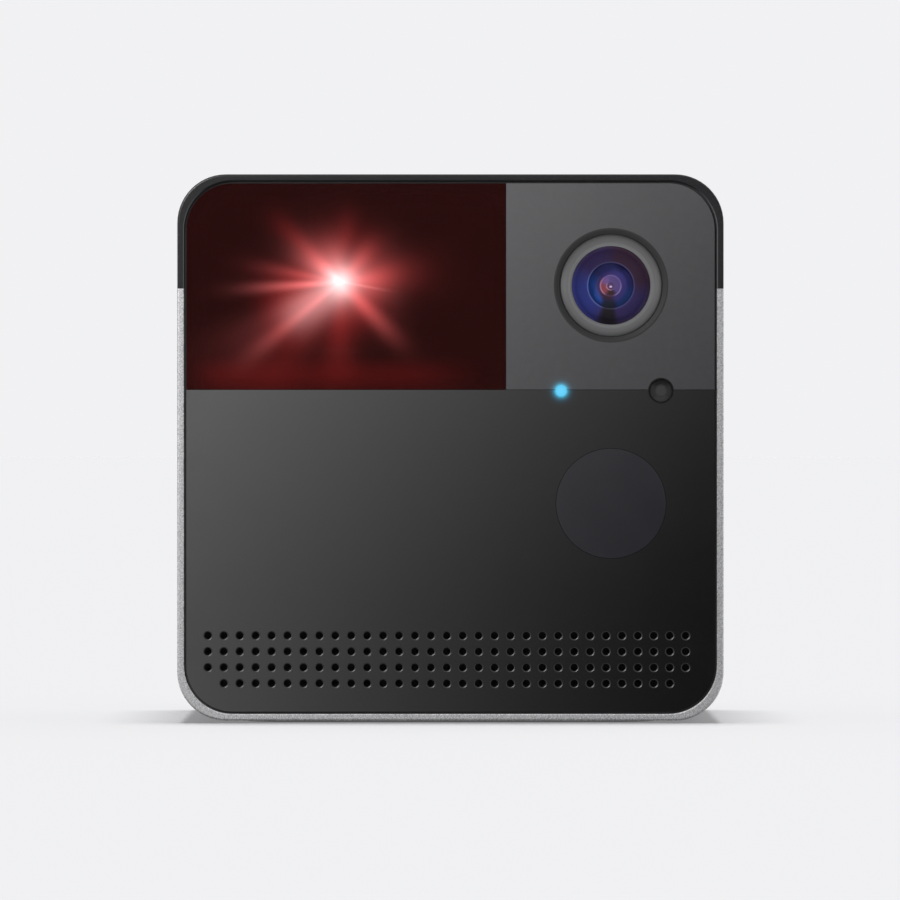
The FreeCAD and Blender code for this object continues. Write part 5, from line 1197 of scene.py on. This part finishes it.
def graded_light(height, grow):
    """A card lit brightest at its upper left, which the glossy panels mirror as their soft gradient."""
    graded, tree = bare_material("graded_light_card")
    place = add(tree, "ShaderNodeTexCoord", out="Object")
    # Where on the panels each point of the card is mirrored, in metres from their middle
    centred = add(tree, "ShaderNodeVectorMath", [place, (0, 0, height)], operation="SUBTRACT")
    shrunk = add(tree, "ShaderNodeVectorMath", {0: centred, "Scale": 1 / grow}, operation="SCALE")
    parts = add(tree, "ShaderNodeSeparateXYZ", [shrunk]).node.outputs
    foot, seam = -0.026, 0.009
    # The root of the light in the middle, and what each metre upwards, past the seam and to the right adds
    level, upwards, steeper, rightwards = 0.206, 2.3, 0.6, -2.63
    # The gradient levels out towards the foot of the panels
    up = add(tree, "ShaderNodeMath", [parts["Z"], foot, 0.012], operation="SMOOTH_MAX")
    rising = add(tree, "ShaderNodeMath", [up, upwards, level], operation="MULTIPLY_ADD")
    # and steepens a little above the seam between them
    top = add(tree, "ShaderNodeMath", [parts["Z"], seam, 0.004], operation="SMOOTH_MAX")
    past = add(tree, "ShaderNodeMath", [top, seam], operation="SUBTRACT")
    rising = add(tree, "ShaderNodeMath", [past, steeper, rising], operation="MULTIPLY_ADD")
    root = add(tree, "ShaderNodeMath", [parts["X"], rightwards, rising], operation="MULTIPLY_ADD")
    least = add(tree, "ShaderNodeMath", [root, 0.05], operation="MAXIMUM")
    light = add(tree, "ShaderNodeMath", [least, 2.0], operation="POWER")
    # Its strength where the root is one
    full = add(tree, "ShaderNodeMath", [light, 25.0], operation="MULTIPLY")
    add(tree, "ShaderNodeOutputMaterial", {"Surface": add(tree, "ShaderNodeEmission", {"Strength": full})})
    return graded


def link_light(light, state, *objects):
    """Lets a light fall on some objects alone, or on all but those."""
    group = bpy.data.collections.new(light.name + "_links")
    for thing in objects:
        group.objects.link(thing)
    for member in group.collection_objects:
        member.light_linking.link_state = state
    light.light_linking.receiver_collection = group


def soft_box(name, place, size, power):
    """A square soft box, aimed at the middle of the object."""
    lamp = bpy.data.lights.new(name, "AREA")
    lamp.shape = "SQUARE"
    lamp.size = size
    lamp.energy = power
    box = placed(name, lamp)
    box.location = place
    box.rotation_euler = (Vector((0, 0, 0.04)) - box.location).to_track_quat("-Z", "Y").to_euler()
    box.visible_camera = False
    return box


def paper_floor(colour):
    """The floor, which nothing shiny mirrors."""
    half = 60
    floor = sheet_object("studio_floor", [(-half, -half, 0), (half, -half, 0), (half, half, 0),
                                          (-half, half, 0)], pale_paper(colour))
    floor.visible_glossy = False
    return floor


def floor_light(power, floor):
    """Wide light on the floor alone, a little from behind, so that the shadow comes forward softly."""
    above = bpy.data.lights.new("floor_light", "SUN")
    above.energy = power
    above.angle = math.radians(20)
    sun = placed("floor_light", above)
    sun.rotation_euler = (math.radians(-3), 0, 0)
    link_light(sun, "INCLUDE", floor)


def mirrored_card(chosen):
    """The graded card, which stands just behind the camera and shows only in what is shiny."""
    away = chosen.distance + 0.02
    side, low, high = 0.1, -0.06, 0.14
    card = sheet_object("graded_card", [(x, PANEL_FACE - away, z) for x, z in (
        (-side, low), (-side, high), (side, high), (side, low))],
        graded_light(chosen.height, 1 + away / chosen.distance))
    card.visible_camera = False
    card.visible_diffuse = False
    card.visible_shadow = False
    link_light(card, "EXCLUDE", NODES["laser_window"])
    return card


def product_camera(chosen):
    """The camera, square to the front and far away."""
    view = bpy.data.cameras.new("product_view")
    view.lens = chosen.focal_length
    view.sensor_width = 36
    view.clip_start = 0.05
    view.clip_end = 200
    eye = placed("product_view", view)
    eye.location = (chosen.aside, CAD_BOX[0][1] - chosen.distance, chosen.height)
    eye.rotation_euler = (math.pi / 2, 0, 0)
    bpy.context.scene.camera = eye


class PET_OT_studio(bpy.types.Operator):
    """Set up the pale floor, the soft light and the camera"""
    bl_idname = "pet_camera.studio"
    bl_label = "Studio"

    def execute(self, context):
        chosen = context.scene.pet_studio
        context.scene.view_settings.view_transform = "Standard"
        soft_sky(context.scene, chosen.backdrop)
        floor = paper_floor(chosen.backdrop)
        card = mirrored_card(chosen)
        floor_light(chosen.floor_light, floor)
        key = soft_box("key_box", (-0.24, -0.42, 0.28), 0.2, chosen.key)
        link_light(key, "EXCLUDE", floor, NODES["laser_window"], NODES["lens_bezel"],
                   bpy.data.objects["front_glass"])
        # Two small ones at the lens's own height light the sides of the satin ring, and nothing else
        for name, aside, share in (("ring_box_left", -0.36, 1.0), ("ring_box_right", 0.36, 0.45)):
            side = soft_box(name, (aside, -0.34, LENS_CENTRE.z), 0.16, chosen.ring * share)
            link_light(side, "INCLUDE", NODES["lens_bezel"])
        product_camera(chosen)
        return {"FINISHED"}


# The add-on

SETTINGS = {
    "pet_casing": CasingSettings,
    "pet_front": FrontSettings,
    "pet_laser": LaserSettings,
    "pet_lens": LensSettings,
    "pet_foot": FootSettings,
    "pet_studio": StudioSettings,
}
OPERATORS = [PET_OT_casing, PET_OT_front, PET_OT_laser, PET_OT_lens, PET_OT_foot, PET_OT_plug, PET_OT_inside,
             PET_OT_studio]


class PET_PT_panel(bpy.types.Panel):
    """The pet camera's settings and the buttons that make its pieces"""
    bl_label = "Pet camera"
    bl_idname = "PET_PT_panel"
    bl_space_type = "VIEW_3D"
    bl_region_type = "UI"
    bl_category = "Pet camera"

    def draw(self, context):
        for name, kind in SETTINGS.items():
            box = self.layout.box()
            for setting in kind.__annotations__:
                box.prop(getattr(context.scene, name), setting)
        for operator in OPERATORS:
            self.layout.operator(operator.bl_idname)


def register():
    for kind in [*SETTINGS.values(), *OPERATORS, PET_PT_panel]:
        bpy.utils.register_class(kind)
    for name, kind in SETTINGS.items():
        setattr(bpy.types.Scene, name, bpy.props.PointerProperty(type=kind))


def unregister():
    for name in SETTINGS:
        delattr(bpy.types.Scene, name)
    for kind in reversed([*SETTINGS.values(), *OPERATORS, PET_PT_panel]):
        bpy.utils.unregister_class(kind)


def main():
    register()
    for operator in OPERATORS:
        group, name = operator.bl_idname.split(".")
        getattr(getattr(bpy.ops, group), name)()


if __name__ == "__main__":
    main()
